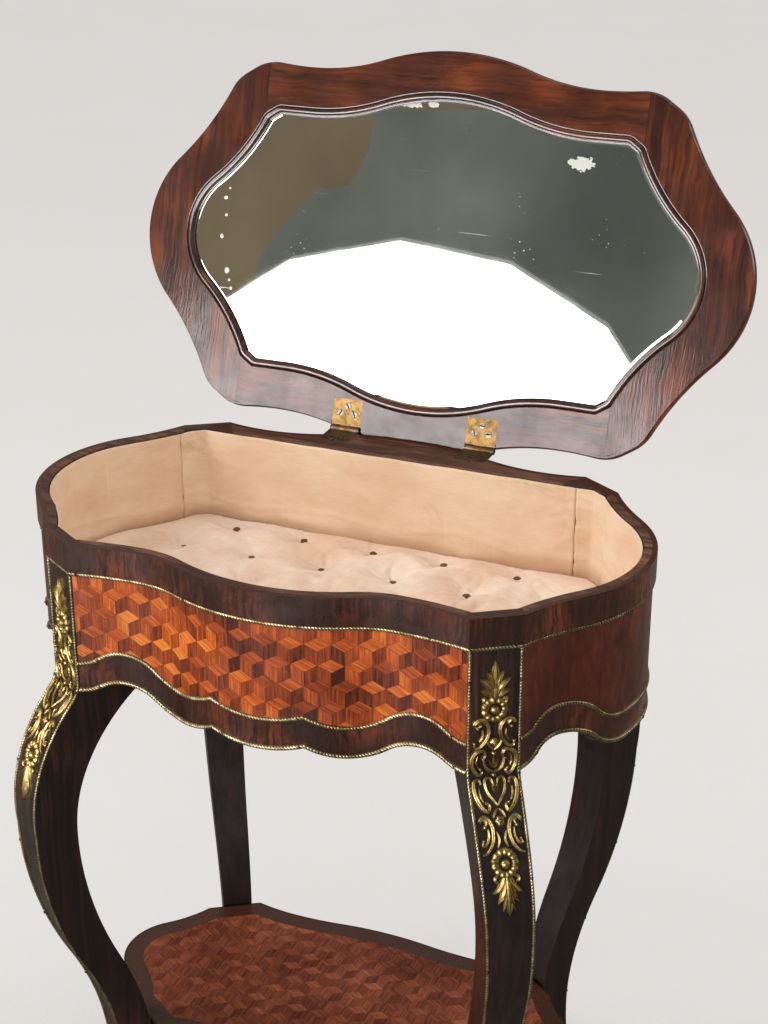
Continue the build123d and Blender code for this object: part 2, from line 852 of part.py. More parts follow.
with BuildPart() as shelf_edge_bead:
    edge_height = shelf_board_thickness + shelf_veneer
    add(ring(level(shelf_board_bottom), shelf_plan(), shelf_plan(bead_proud), edge_height))
    add(dowel_holes, mode=Mode.SUBTRACT)
save(shelf_edge_bead, "shelf_edge_bead")

with BuildPart() as shelf_dowels:
    add(dowels)
save(shelf_dowels, "shelf_dowels")

# ---------------------------------------------------------------- lid
lid_board_level = lid_gap + lid_frame_thickness
lid_top_level = lid_board_level + lid_board_thickness
glass_level = lid_gap + mirror_recess

with BuildPart() as lid_edge:
    add(ring(lid_face, lid_plan(), lid_plan(lid_edge_width), lid_thickness))
    add(knuckle_seat, mode=Mode.SUBTRACT)
    add(lid_leaf_seat, mode=Mode.SUBTRACT)
save(lid_edge, "lid_edge")

with BuildPart() as lid_frame:
    add(ring(lid_face, lid_plan(lid_edge_width), mirror_plan(), lid_frame_thickness))
    add(knuckle_seat, mode=Mode.SUBTRACT)
    add(lid_leaf_seat, mode=Mode.SUBTRACT)
    add(lid_screw_holes, mode=Mode.SUBTRACT)
save(lid_frame, "lid_frame")

with BuildPart() as lid_board:
    add(slab(lid_level(lid_board_level), lid_plan(lid_edge_width), lid_board_thickness))
save(lid_board, "lid_board")

with BuildPart() as lid_top_marquetry:
    add(slab(lid_level(lid_top_level), lid_plan(lid_edge_width + lid_top_band), lid_veneer))
save(lid_top_marquetry, "lid_top_marquetry")

with BuildPart() as lid_top_banding:
    outer = lid_plan(lid_edge_width)
    add(ring(lid_level(lid_top_level), outer, lid_plan(lid_edge_width + lid_top_band), lid_veneer))
save(lid_top_banding, "lid_top_banding")

with BuildPart() as mirror_moulding:
    add(ring(lid_face, mirror_plan(), mirror_plan(mirror_moulding_width), mirror_recess))
save(mirror_moulding, "mirror_moulding")

with BuildPart() as mirror_glass:
    add(slab(lid_level(glass_level), mirror_plan(fit), glass_thickness))
save(mirror_glass, "mirror_glass")

backing_thickness = lid_frame_thickness - mirror_recess - glass_thickness
with BuildPart() as mirror_backing:
    add(slab(lid_level(glass_level + glass_thickness), mirror_plan(fit), backing_thickness))
save(mirror_backing, "mirror_backing")

# ---------------------------------------------------------------- hinges
end_knuckles = [barrel(knuckle_radius, place, knuckle_length) for place in (0, 2 * knuckle_length)]
middle_knuckle = barrel(knuckle_radius, knuckle_length, knuckle_length)
end_seats = [
    barrel(knuckle_radius + swing_gap, place, knuckle_length, grow=running)
    for place in (0, 2 * knuckle_length)
]
middle_seat = barrel(knuckle_radius + swing_gap, knuckle_length, knuckle_length, grow=running)
pin_hole = barrel(pin_radius + running, 0, leaf_width, grow=1.0)

with BuildPart() as case_leaf:
    add(leaf_blank(case_leaf_plane))
    add(middle_seat, mode=Mode.SUBTRACT)
    add(end_knuckles)
    add(middle_seat, mode=Mode.SUBTRACT)
    add(pin_hole, mode=Mode.SUBTRACT)
    add(case_screw_holes, mode=Mode.SUBTRACT)

with BuildPart() as lid_leaf:
    add(leaf_blank(lid_leaf_plane))
    add(end_seats, mode=Mode.SUBTRACT)
    add(middle_knuckle)
    add(end_seats, mode=Mode.SUBTRACT)
    add(pin_hole, mode=Mode.SUBTRACT)
    add(lid_screw_holes, mode=Mode.SUBTRACT)

with BuildPart() as pin:
    add(barrel(pin_radius, 0, leaf_width))

for name, side in sides.items():
    for base, node in ((case_leaf, "hinge_case_leaf"), (lid_leaf, "hinge_lid_leaf"), (pin, "hinge_pin")):
        with BuildPart() as hand:
            add(base.part)
            if side < 0:
                mirror(about=Plane.YZ, mode=Mode.REPLACE)
        save(hand, f"{node}_{name}")

with BuildPart() as hinge_case_screws:
    add(screws(case_top, 1, case_screw_rows, case_screw_length))
save(hinge_case_screws, "hinge_case_screws")

with BuildPart() as hinge_lid_screws:
    add(screws(lid_leaf_plane, -1, lid_screw_rows, lid_screw_length))
save(hinge_lid_screws, "hinge_lid_screws")
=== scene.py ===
"""Looks of a poudreuse: a serpentine dressing table with a mirror in its lid and a buttoned lining.

Shapes are worked out in millimetres on numpy grids and written to meshes in metres. Plan coordinates are
measured from the middle of the case; heights are measured from the floor.
"""

import logging
import math
from collections.abc import Callable, Sequence
from dataclasses import dataclass, field
from enum import Enum
from typing import NamedTuple

import bmesh
import bpy
import numpy as np
from mathutils import Matrix
from numpy.typing import NDArray


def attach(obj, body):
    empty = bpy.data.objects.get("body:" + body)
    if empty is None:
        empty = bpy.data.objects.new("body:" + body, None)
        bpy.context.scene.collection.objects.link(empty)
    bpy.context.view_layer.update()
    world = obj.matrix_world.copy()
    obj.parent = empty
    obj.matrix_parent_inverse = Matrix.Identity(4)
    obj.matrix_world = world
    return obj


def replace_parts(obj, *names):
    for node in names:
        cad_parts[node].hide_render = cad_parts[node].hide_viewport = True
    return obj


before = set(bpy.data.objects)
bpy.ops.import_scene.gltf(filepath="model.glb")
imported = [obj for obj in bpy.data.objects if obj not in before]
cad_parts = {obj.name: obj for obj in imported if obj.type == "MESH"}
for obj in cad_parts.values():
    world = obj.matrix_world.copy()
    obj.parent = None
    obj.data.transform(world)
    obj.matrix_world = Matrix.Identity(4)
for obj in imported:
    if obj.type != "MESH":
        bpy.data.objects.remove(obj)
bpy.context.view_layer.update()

Array = NDArray[np.float64]
Point = tuple[float, float]
Material = bpy.types.Material
Node = bpy.types.Node
Piece = bpy.types.Object
Socket = bpy.types.NodeSocket
Tree = bpy.types.NodeTree
Input = Node | Socket | float | str | tuple[float, ...]

log = logging.getLogger("poudreuse")

MM = 0.001
CASE_Y = -63.804          # middle of the case in the shared frame
RIM = 715.0               # rim of the case above the floor
OPEN_ANGLE = math.radians(107.8)
HINGE_Y = 191.6           # axis of the hinges, to the rear of the case's middle
AXIS_RISE = 0.2           # height of that axis above the rim
LID_SHIFT = 3.7           # middle of the closed lid, to the rear of the case's middle
CORNER_ANGLE = math.radians(32.9)
ACROSS = np.array([math.sin(CORNER_ANGLE), math.cos(CORNER_ANGLE)])
ALONG = np.array([math.cos(CORNER_ANGLE), -math.sin(CORNER_ANGLE)])


class Body(str, Enum):
    """The two bodies that pieces ride on."""

    TABLE = "table"
    LID = "lid"


class Wall(Enum):
    """One wall of the case: its kind of shaped line and the side it faces."""

    FRONT = ("front", -1)
    REAR = ("front", 1)
    LEFT = ("side", -1)
    RIGHT = ("side", 1)

    @property
    def kind(self) -> str:
        """Front for the two long walls, side for the short ones."""
        return self.value[0]

    @property
    def sign(self) -> int:
        """Minus for the front and left walls."""
        return self.value[1]


class Corner(Enum):
    """One corner of the table: sign across the width and sign towards the rear."""

    FRONT_LEFT = (-1, -1)
    FRONT_RIGHT = (1, -1)
    REAR_LEFT = (-1, 1)
    REAR_RIGHT = (1, 1)

    @property
    def label(self) -> str:
        """Name of the corner as the nodes spell it."""
        return self.name.lower()


# ---------------------------------------------------------------- lines in a plane
def arc_from(start: Array, heading: Array, end: Array, step: float = 2.5) -> tuple[Array, Array]:
    """Arc that leaves a point along a heading and passes a second point.

    It turns by twice the angle between the heading and the chord.

    Args:
        start: First point.
        heading: Unit direction at the start.
        end: Last point.
        step: Rough spacing of the points.

    Returns:
        Points of the arc and the unit direction at its end.
    """
    start, heading, end = (np.asarray(value, float) for value in (start, heading, end))
    chord = end - start
    left = np.array([-heading[1], heading[0]])
    turn = 2 * math.atan2(chord @ left, chord @ heading)
    count = max(4, int(np.linalg.norm(chord) / step))
    share = np.linspace(0, 1, count)[:, None]
    if abs(turn) < 1e-6:
        return start + chord * share, heading
    radius = (chord @ chord) / (2 * (chord @ left))
    angle = share * turn
    points = start + radius * (np.sin(angle) * heading + (1 - np.cos(angle)) * left)
    return points, math.cos(turn) * heading + math.sin(turn) * left


def joined(*runs: Array, apart: float = 1e-6) -> Array:
    """Several runs of points as one, without the points that they share or that lie closer than apart."""
    line = np.concatenate(runs)
    kept = np.linalg.norm(np.diff(line, axis=0), axis=1) > apart
    return line[np.concatenate([[True], kept])]


def ogee(start: Point, end: Point, share: float = 0.5) -> Array:
    """S-curve of two tangent arcs that leaves along the first axis."""
    start_at, end_at = np.array(start), np.array(end)
    middle = start_at + (end_at - start_at) * share
    first, heading = arc_from(start_at, np.array([math.copysign(1, end[0] - start[0]), 0.0]), middle)
    second, _ = arc_from(middle, heading, end_at)
    return joined(first, second)


def lengths(line: Array) -> Array:
    """Distance along a line at each of its points."""
    return np.concatenate([[0.0], np.cumsum(np.linalg.norm(np.diff(line, axis=0), axis=1))])


def spaced(line: Array, step: float) -> Array:
    """The line with its points evenly spaced."""
    at = lengths(line)
    even = np.linspace(0, at[-1], max(3, int(round(at[-1] / step)) + 1))
    return np.stack([np.interp(even, at, column) for column in line.T], 1)


def outward(outline: Array) -> Array:
    """Mitre directions of a closed outline that runs anticlockwise: one unit out moves each side one unit."""
    edge = np.roll(outline, -1, 0) - outline
    edge /= np.linalg.norm(edge, axis=1)[:, None]
    after = np.stack([edge[:, 1], -edge[:, 0]], 1)
    before = np.roll(after, 1, 0)
    return (after + before) / (1 + np.sum(after * before, 1))[:, None]


def spaced_closed(outline: Array, step: float, sharp: float = 0.25) -> Array:
    """Closed outline with its points evenly spaced between corners, which stay."""
    edge = unit(np.roll(outline, -1, 0) - outline)
    turn = np.abs(np.cross(np.roll(edge, 1, 0), edge))
    corners = np.flatnonzero(turn > sharp)
    if not len(corners):
        return spaced(np.concatenate([outline, outline[:1]]), step)[:-1]
    rolled = np.concatenate([np.roll(outline, -corners[0], 0), outline[corners[:1]]])
    stops = [*(corners - corners[0]), len(outline)]
    return joined(*(spaced(rolled[a : b + 1], step) for a, b in zip(stops, stops[1:])))[:-1]


def shifted(outline: Array, out: float) -> Array:
    """Closed outline moved outwards, with mitred corners."""
    return outline + outward(outline) * out


def rounded(outline: Array, out: float, step: float = 0.08) -> Array:
    """Closed outline moved outwards, with an arc of that radius round each corner.

    Args:
        outline: Anticlockwise outline.
        out: Distance outwards, which is the radius of the corners.
        step: Angle between the points of a corner's arc.

    Returns:
        The new outline, with more points than the old one.
    """
    edge = np.roll(outline, -1, 0) - outline
    heading = np.arctan2(edge[:, 1], edge[:, 0]) - math.pi / 2
    before = np.roll(heading, 1)
    turn = (heading - before + math.pi) % (2 * math.pi) - math.pi
    counts = 1 + (np.maximum(turn, 0) / step).astype(int)
    which = np.repeat(np.arange(len(outline)), counts)
    order = np.arange(len(which)) - np.repeat(np.cumsum(counts) - counts, counts)
    share = np.where(counts[which] > 1, order / np.maximum(counts[which] - 1, 1), 0.5)
    angle = before[which] + turn[which] * share
    return outline[which] + out * np.stack([np.cos(angle), np.sin(angle)], 1)


@dataclass(frozen=True)
class Wave:
    """One long side of a plan: a bow in the middle with a wave on either side of it."""

    reach: float
    fall: float
    dip: float
    share: float


@dataclass(frozen=True)
class Plan:
    """Plan with waved long sides, bulging short sides and four canted corners."""

    half_width: float
    bulge: float
    bulge_reach: float
    corner: Point
    corner_width: float
    front: Wave
    rear: Wave

    def ends(self, way: int) -> tuple[Array, Array]:
        """Two ends of the right hand canted corner towards the front or the rear."""
        flip = np.array([1, way])
        half = ALONG * self.corner_width / 2
        return (np.array(self.corner) - half) * flip, (np.array(self.corner) + half) * flip

    def quarter(self, way: int) -> Array:
        """Right hand line from the middle of the front or rear to the middle of the side."""
        wave = self.front if way < 0 else self.rear
        low = (wave.dip, way * (wave.reach - wave.fall))
        long_end, side_end = self.ends(way)
        bow = ogee((0, way * wave.reach), low, wave.share)
        flank, _ = arc_from(low, (1, 0), long_end)
        widest = (self.half_width, 0)
        turn = (self.half_width - self.bulge, way * self.bulge_reach)
        first, heading = arc_from(widest, (0, way), turn)
        second, _ = arc_from(turn, heading, side_end)
        return joined(bow, flank, side_end[None], second[::-1], first[::-1])

    def outline(self, inset: float = 0.0) -> Array:
        """Closed outline, anticlockwise from the middle of the front."""
        right = joined(self.quarter(-1), self.quarter(1)[::-1])
        left = right[::-1] * [-1, 1]
        whole = joined(right, left)[:-1]
        return shifted(whole, -inset) if inset else whole

    def softened(self, corner_round: float) -> Array:
        """Outline with rounded corners: drawn in, freed of points that fold back, and grown again."""
        whole = spaced_closed(self.outline(), 1.0)
        drawn_in = shifted(whole, -corner_round)
        near = np.array([np.min(np.linalg.norm(whole - point, axis=1)) for point in drawn_in])
        drawn_in = drawn_in[near > corner_round - 0.001]
        return rounded(joined(np.roll(drawn_in, len(drawn_in) // 8, 0), apart=0.4), corner_round)


CASE = Plan(
    half_width=307.0, bulge=35.0, bulge_reach=87.0, corner=(214.7, 151.8), corner_width=48.2,
    front=Wave(reach=186.0, fall=28.8, dip=125.0, share=0.7),
    rear=Wave(reach=188.0, fall=28.7, dip=150.0, share=0.6),
)
LID = Plan(
    half_width=327.6, bulge=30.0, bulge_reach=75.0, corner=(224.0, 171.5), corner_width=40.0,
    front=Wave(reach=205.0, fall=26.7, dip=155.0, share=0.5),
    rear=Wave(reach=199.0, fall=20.7, dip=155.0, share=0.55),
)
MIRROR_WAVE = Wave(reach=163.6, fall=26.9, dip=150.0, share=0.5)
MIRROR = Plan(
    half_width=281.5, bulge=26.0, bulge_reach=57.5, corner=(196.5, 132.0), corner_width=18.0,
    front=MIRROR_WAVE, rear=MIRROR_WAVE,
)
LID_CORNER_ROUND = 40.0
RIM_WIDTH, REAR_RIM_WIDTH = 12.5, 47.0
FACE_INSET = 2.5          # how far the case's faces lie behind the frieze band


def cavity(inset: float) -> Array:
    """Inside outline of the compartment, drawn in by inset: the rim's line, cut straight at the rear."""
    line = CASE.outline(RIM_WIDTH + inset)
    limit = CASE.rear.reach - REAR_RIM_WIDTH - inset
    inside = line[line[:, 1] < limit]
    start = int(np.argmax(np.abs(np.diff(inside[:, 1])) + np.abs(np.diff(inside[:, 0])))) + 1
    inside = np.roll(inside, -start, 0)
    ends = []
    for near in (inside[0], inside[-1]):
        side = math.copysign(1, near[0])
        beyond = line[(line[:, 1] >= limit) & (line[:, 0] * side > 0)]
        far = beyond[np.argmin(np.linalg.norm(beyond - near, axis=1))]
        share = (limit - near[1]) / (far[1] - near[1])
        ends.append(near + (far - near) * share)
    across = np.linspace(ends[1], ends[0], 200)
    return joined(inside, across)[:-1] if np.allclose(across[-1], inside[0]) else joined(inside, across)


# ---------------------------------------------------------------- shaped lines of the apron and panels
@dataclass(frozen=True)
class ShapedLine:
    """Heights of a shaped line of the apron or panel, as drops below the rim.

    Its turning points lie at distances from the middle of the wall: on the long walls a cusp and a lobe, on
    the short ones a lobe only, and on each an arch near the corner post.
    """

    long_drops: dict[str, float]
    side_drops: dict[str, float]
    cusp_at: float = 46.0
    long_lobe_at: float = 84.0
    side_lobe_at: float = 42.0
    long_arch: float = 47.0                # distance from the arch to the post
    side_arch: float = 38.0

    def heights(self, kind: str, at: Array) -> Array:
        """Height of the line at distances from a wall's middle, the same both ways."""
        if kind == "front":
            drops, end, arch_from = self.long_drops, CASE.ends(1)[0][0], self.long_arch
            cusp, lobe = (self.cusp_at, drops["cusp"]), (self.long_lobe_at, drops["lobe"])
            first, _ = arc_from(lobe, (-1, 0), cusp)
            radius = (cusp[0] ** 2 + (drops["middle"] - cusp[1]) ** 2) / (2 * (drops["middle"] - cusp[1]))
            bow = np.linspace(0, cusp[0], 30)
            middle = np.stack([bow, drops["middle"] - radius + np.sqrt(radius**2 - bow**2)], 1)
            start = joined(middle, first[::-1])
        else:
            drops, end, arch_from = self.side_drops, CASE.ends(1)[1][1], self.side_arch
            lobe = (self.side_lobe_at, drops["middle"])
            start = np.array([[0.0, drops["middle"]], lobe])
        arch = (end - arch_from, drops["arch"])
        line = joined(start, ogee(lobe, arch), ogee(arch, (end, drops["corner"])))
        return RIM - np.interp(np.abs(at), line[:, 0], line[:, 1])


APRON = ShapedLine(
    {"middle": 157.5, "cusp": 150.5, "lobe": 160.0, "arch": 139.5, "corner": 153.0},
    {"middle": 159.5, "arch": 131.0, "corner": 153.0},
)
PANEL = ShapedLine(
    {"middle": 128.5, "cusp": 121.5, "lobe": 131.5, "arch": 109.5, "corner": 125.0},
    {"middle": 133.7, "arch": 103.5, "corner": 123.5},
)


def wall_line(wall: Wall, inset: float, step: float) -> Array:
    """Plan line of one wall between its corner posts, left to right as seen from outside."""
    ends = CASE.ends(-1)
    outline = spaced_closed(CASE.outline(inset), step / 2)
    long_end, side_end = ends[0] - ACROSS * [1, -1] * inset, ends[1] - ACROSS * [1, -1] * inset
    if wall.kind == "front":
        part = outline[(outline[:, 1] * wall.sign > 0) & (np.abs(outline[:, 0]) <= long_end[0])]
        part = part[np.argsort(part[:, 0] * -wall.sign)]
    else:
        part = outline[(outline[:, 0] * wall.sign > 0) & (np.abs(outline[:, 1]) <= abs(side_end[1]))]
        part = part[np.argsort(part[:, 1] * wall.sign)]
    return spaced(part, step)


# ---------------------------------------------------------------- frames in space
def in_space(plan: Array, height: Array | float) -> Array:
    """Plan points at their heights, in the shared frame."""
    tall = np.broadcast_to(np.asarray(height, float), plan.shape[:-1])
    return np.stack([plan[..., 0], plan[..., 1] + CASE_Y, tall], -1)


def in_lid(plan: Array, depth: Array | float) -> Array:
    """Points of the lid where it stands open, given in its closed plan and as depth above the rim."""
    back = plan[..., 1] + LID_SHIFT - HINGE_Y
    rise = np.broadcast_to(np.asarray(depth, float), back.shape) - AXIS_RISE
    cosine, sine = math.cos(OPEN_ANGLE), math.sin(OPEN_ANGLE)
    rear = CASE_Y + HINGE_Y + back * cosine + rise * sine
    return np.stack([plan[..., 0], rear, RIM + AXIS_RISE - back * sine + rise * cosine], -1)


SUNK = 0.3                # how far strips and bosses reach into the ground that they lie on
LID_BACK = np.array([0.0, math.cos(OPEN_ANGLE), -math.sin(OPEN_ANGLE)])
LID_UP = np.array([0.0, math.sin(OPEN_ANGLE), math.cos(OPEN_ANGLE)])


def footed(top: Array, width: float) -> Array:
    """Closed profile of a strip: its top, right to left, and its two feet, which reach into the ground."""
    return np.concatenate([top, [[-width / 2, -SUNK], [width / 2, -SUNK]]])


def level(line: Array) -> Array:
    """Points or directions of a plane, in space at height zero."""
    return np.concatenate([line, np.zeros((len(line), 1))], 1)


def carried(path: Array, side: Array, up: Array, profile: Array) -> Array:
    """Grid of a profile carried along a path: each of its points is laid off along side and up."""
    shape = profile if profile.ndim == 3 else np.broadcast_to(profile, (len(path), *profile.shape))
    return path[:, None] + side[:, None] * shape[..., :1] + up[:, None] * shape[..., 1:]


def unit(ways: Array) -> Array:
    """Vectors brought to length one."""
    return ways / np.linalg.norm(ways, axis=-1, keepdims=True)


def grain(points: Array, size: float, seed: int, octaves: int = 3) -> Array:
    """Smooth seeded noise between about -1 and 1: a sum of sine waves in fixed random directions.

    Args:
        points: Points in millimetres.
        size: Length of the longest wave.
        seed: Seed of the directions and phases.
        octaves: Number of times that the waves get half as long and half as high.

    Returns:
        One value for each point.
    """
    draw = np.random.default_rng(seed)
    total = np.zeros(points.shape[:-1])
    for octave in range(octaves):
        ways = unit(draw.normal(size=(7, points.shape[-1]))) * 2 * math.pi * 2**octave / size
        phases = draw.uniform(0, 2 * math.pi, 7)
        total += np.sin(points @ ways.T + phases).sum(-1) / (2.6 * 2**octave)
    return total


class Form:
    """A piece gathered from grids of points, which becomes one mesh."""

    def __init__(self) -> None:
        """Starts with no surfaces."""
        self.points: list[Array] = []
        self.faces: list[Array] = []
        self.patterns: list[Array] = []
        self.total = 0

    def grid(
        self, points: Array, wrap_rows: bool = False, wrap_columns: bool = False, pattern: Array | None = None
    ) -> "Form":
        """Adds the surface through a grid of points.

        Args:
            points: Rows by columns by three, in millimetres.
            wrap_rows: The last row joins the first.
            wrap_columns: The last column joins the first.
            pattern: Rows by columns by two, where a pattern lies on the surface, in millimetres.

        Returns:
            The same form.
        """
        rows, columns = points.shape[:2]
        spans = (rows - (not wrap_rows), columns - (not wrap_columns))
        row, column = np.indices(spans).reshape(2, -1)
        next_row, next_column = (row + 1) % rows, (column + 1) % columns
        corners = [(row, column), (next_row, column), (next_row, next_column), (row, next_column)]
        self.faces.append(np.stack([a * columns + b for a, b in corners], 1) + self.total)
        self.points.append(points.reshape(-1, 3))
        flat = np.zeros((rows * columns, 2)) if pattern is None else pattern.reshape(-1, 2)
        self.patterns.append(flat)
        self.total += rows * columns
        return self

    def tube(
        self,
        path: Array,
        side: Array,
        up: Array,
        profile: Array,
        closed: bool = False,
        pattern: Array | None = None,
    ) -> "Form":
        """Adds a closed profile carried along a path, with its ends filled by shrinking it to a point."""
        surface = carried(path, side, up, profile)
        if not closed:
            caps = [np.broadcast_to(surface[i].mean(0), surface[i].shape)[None] for i in (0, -1)]
            surface = np.concatenate([caps[0], surface, caps[1]])
            pattern = None if pattern is None else np.concatenate([pattern[:1], pattern, pattern[-1:]])
        return self.grid(surface, wrap_rows=closed, wrap_columns=True, pattern=pattern)

    def build(
        self,
        name: str,
        body: Body,
        finish: Material,
        slot: str,
        sharp: float | None = 40,
        outwards: bool = True,
    ) -> Piece:
        """Makes the mesh and its object.

        Args:
            name: Name of the piece.
            body: Body that it rides on.
            finish: Its material.
            slot: Material slot of the record; not used.
            sharp: Angle in degrees past which an edge stays sharp, or None where all is smooth.
            outwards: Turn the faces of closed shells outwards.

        Returns:
            The piece, at the origin.
        """
        mesh = bpy.data.meshes.new(name)
        points, faces = np.concatenate(self.points), np.concatenate(self.faces)
        mesh.vertices.add(len(points))
        mesh.vertices.foreach_set("co", (points * MM).astype(np.float32).ravel())
        mesh.loops.add(faces.size)
        mesh.loops.foreach_set("vertex_index", faces.ravel().astype(np.int32))
        mesh.polygons.add(len(faces))
        mesh.polygons.foreach_set("loop_start", np.arange(0, faces.size, 4, dtype=np.int32))
        mesh.update(calc_edges=True)
        layer = mesh.uv_layers.new(name="pattern")
        layer.data.foreach_set(
            "uv", (np.concatenate(self.patterns)[faces.ravel()] * MM).astype(np.float32).ravel()
        )
        work = bmesh.new()
        work.from_mesh(mesh)
        bmesh.ops.remove_doubles(work, verts=work.verts, dist=1e-6)
        if outwards:
            bmesh.ops.recalc_face_normals(work, faces=work.faces)
        work.to_mesh(mesh)
        work.free()
        mesh.shade_smooth()
        if sharp is not None:
            mesh.set_sharp_from_angle(angle=math.radians(sharp))
        mesh.materials.append(finish)
        piece = bpy.data.objects.new(name, mesh)
        bpy.context.scene.collection.objects.link(piece)
        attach(piece, body.value)
        log.info("%s: %d faces", name, len(mesh.polygons))
        return piece


def apply_modifiers(piece: Piece) -> None:
    """Replaces the mesh by the one that its modifiers give."""
    graph = bpy.context.evaluated_depsgraph_get()
    made = bpy.data.meshes.new_from_object(piece.evaluated_get(graph))
    piece.modifiers.clear()
    piece.data = made


def read_points(piece: Piece) -> Array:
    """Vertices of a piece, in millimetres."""
    points = np.empty(len(piece.data.vertices) * 3, np.float32)
    piece.data.vertices.foreach_get("co", points)
    return points.reshape(-1, 3).astype(float) / MM


def write_points(piece: Piece, points: Array) -> None:
    """Moves the vertices of a piece to points in millimetres."""
    piece.data.vertices.foreach_set("co", (points * MM).astype(np.float32).ravel())
    piece.data.update()


# ---------------------------------------------------------------- finishes
def linear(code: str) -> tuple[float, ...]:
    """Colour of an sRGB hex code as linear light, opaque."""
    channels = [int(code[i : i + 2], 16) / 255 for i in (1, 3, 5)]
    values = [c / 12.92 if c <= 0.04045 else ((c + 0.055) / 1.055) ** 2.4 for c in channels]
    return (*values, 1.0)


def wire(tree: Tree, node: Node, sockets: dict[str | int, Input]) -> None:
    """Sets inputs of a node.

    Args:
        tree: Node tree.
        node: Node whose inputs are set.
        sockets: Input name or number to a value, a node (its first output), a socket or a colour's hex code.
    """
    for key, value in sockets.items():
        if isinstance(value, Node):
            tree.links.new(value.outputs[0], node.inputs[key])
        elif isinstance(value, Socket):
            tree.links.new(value, node.inputs[key])
        else:
            node.inputs[key].default_value = linear(value) if isinstance(value, str) else value


def add(tree: Tree, kind: str, sockets: dict[str | int, Input] | None = None, **settings: str) -> Node:
    """Adds a node with its settings, values and links.

    Args:
        tree: Node tree.
        kind: Kind of shader node, without its prefix.
        sockets: Its inputs, as wire takes them.
        settings: Properties of the node.

    Returns:
        The node.
    """
    made = tree.nodes.new("ShaderNode" + kind)
    for name, value in settings.items():
        setattr(made, name, value)
    wire(tree, made, sockets or {})
    return made


def maths(tree: Tree, operation: str, *values: Input) -> Node:
    """A sum with numbers."""
    return add(tree, "Math", dict(enumerate(values)), operation=operation)


def vectors(tree: Tree, operation: str, *values: Input) -> Node:
    """A sum with vectors."""
    return add(tree, "VectorMath", dict(enumerate(values)), operation=operation)


def mixed(tree: Tree, share: Input, first: Input, second: Input, blend: str = "MIX") -> Node:
    """Two colours, blended by a share of the second."""
    return add(tree, "MixRGB", {"Fac": share, "Color1": first, "Color2": second}, blend_type=blend)


def ranged(
    tree: Tree,
    value: Input,
    low: float,
    high: float,
    first: float = 0.0,
    last: float = 1.0,
    kind: str = "LINEAR",
) -> Node:
    """A value carried from the range low to high to the range first to last."""
    return add(tree, "MapRange", {0: value, 1: low, 2: high, 3: first, 4: last}, interpolation_type=kind)


def eased(tree: Tree, value: Input, low: float, high: float, first: float = 0.0, last: float = 1.0) -> Node:
    """The same with soft ends."""
    return ranged(tree, value, low, high, first, last, "SMOOTHSTEP")


def noise(
    tree: Tree, place: Input, scale: float, detail: float, roughness: float = 0.5, distortion: float = 0.0
) -> Node:
    """Cloudy noise at a place."""
    sockets = {
        "Vector": place, "Scale": scale, "Detail": detail, "Roughness": roughness, "Distortion": distortion
    }
    return add(tree, "TexNoise", sockets)


def parted(tree: Tree, value: Input) -> Node:
    """The three parts of a vector."""
    return add(tree, "SeparateXYZ", {0: value})


def blank(name: str) -> tuple[Material, Tree]:
    """New material with an empty tree."""
    material = bpy.data.materials.new(name)
    material.use_nodes = True
    material.node_tree.nodes.clear()
    return material, material.node_tree


def fresh(name: str) -> tuple[Material, Tree, Node]:
    """New material with its tree and its main shader, joined to the output."""
    material, tree = blank(name)
    shader = add(tree, "BsdfPrincipled")
    add(tree, "OutputMaterial", {"Surface": shader})
    return material, tree, shader


class Place(Enum):
    """Coordinates that a pattern lies in."""

    OBJECT = "Object"
    PATTERN = "UV"


LID_ORIGIN = in_lid(np.zeros(2), 0.0) * MM
THIRD = 2 * math.pi / 3


def coordinates(tree: Tree, place: Place, lid_plane: bool = False, scale: float = 1.0) -> Node:
    """Coordinates of the object or its pattern, turned into the open lid's plane where asked."""
    source = add(tree, "TexCoord").outputs[place.value]
    turned = {"Vector": source, "Scale": (scale,) * 3}
    if lid_plane:
        moved = vectors(tree, "SUBTRACT", source, tuple(LID_ORIGIN))
        turned = {"Vector": moved, "Rotation": (OPEN_ANGLE, 0, 0), "Scale": (scale,) * 3}
    return add(tree, "Mapping", turned)


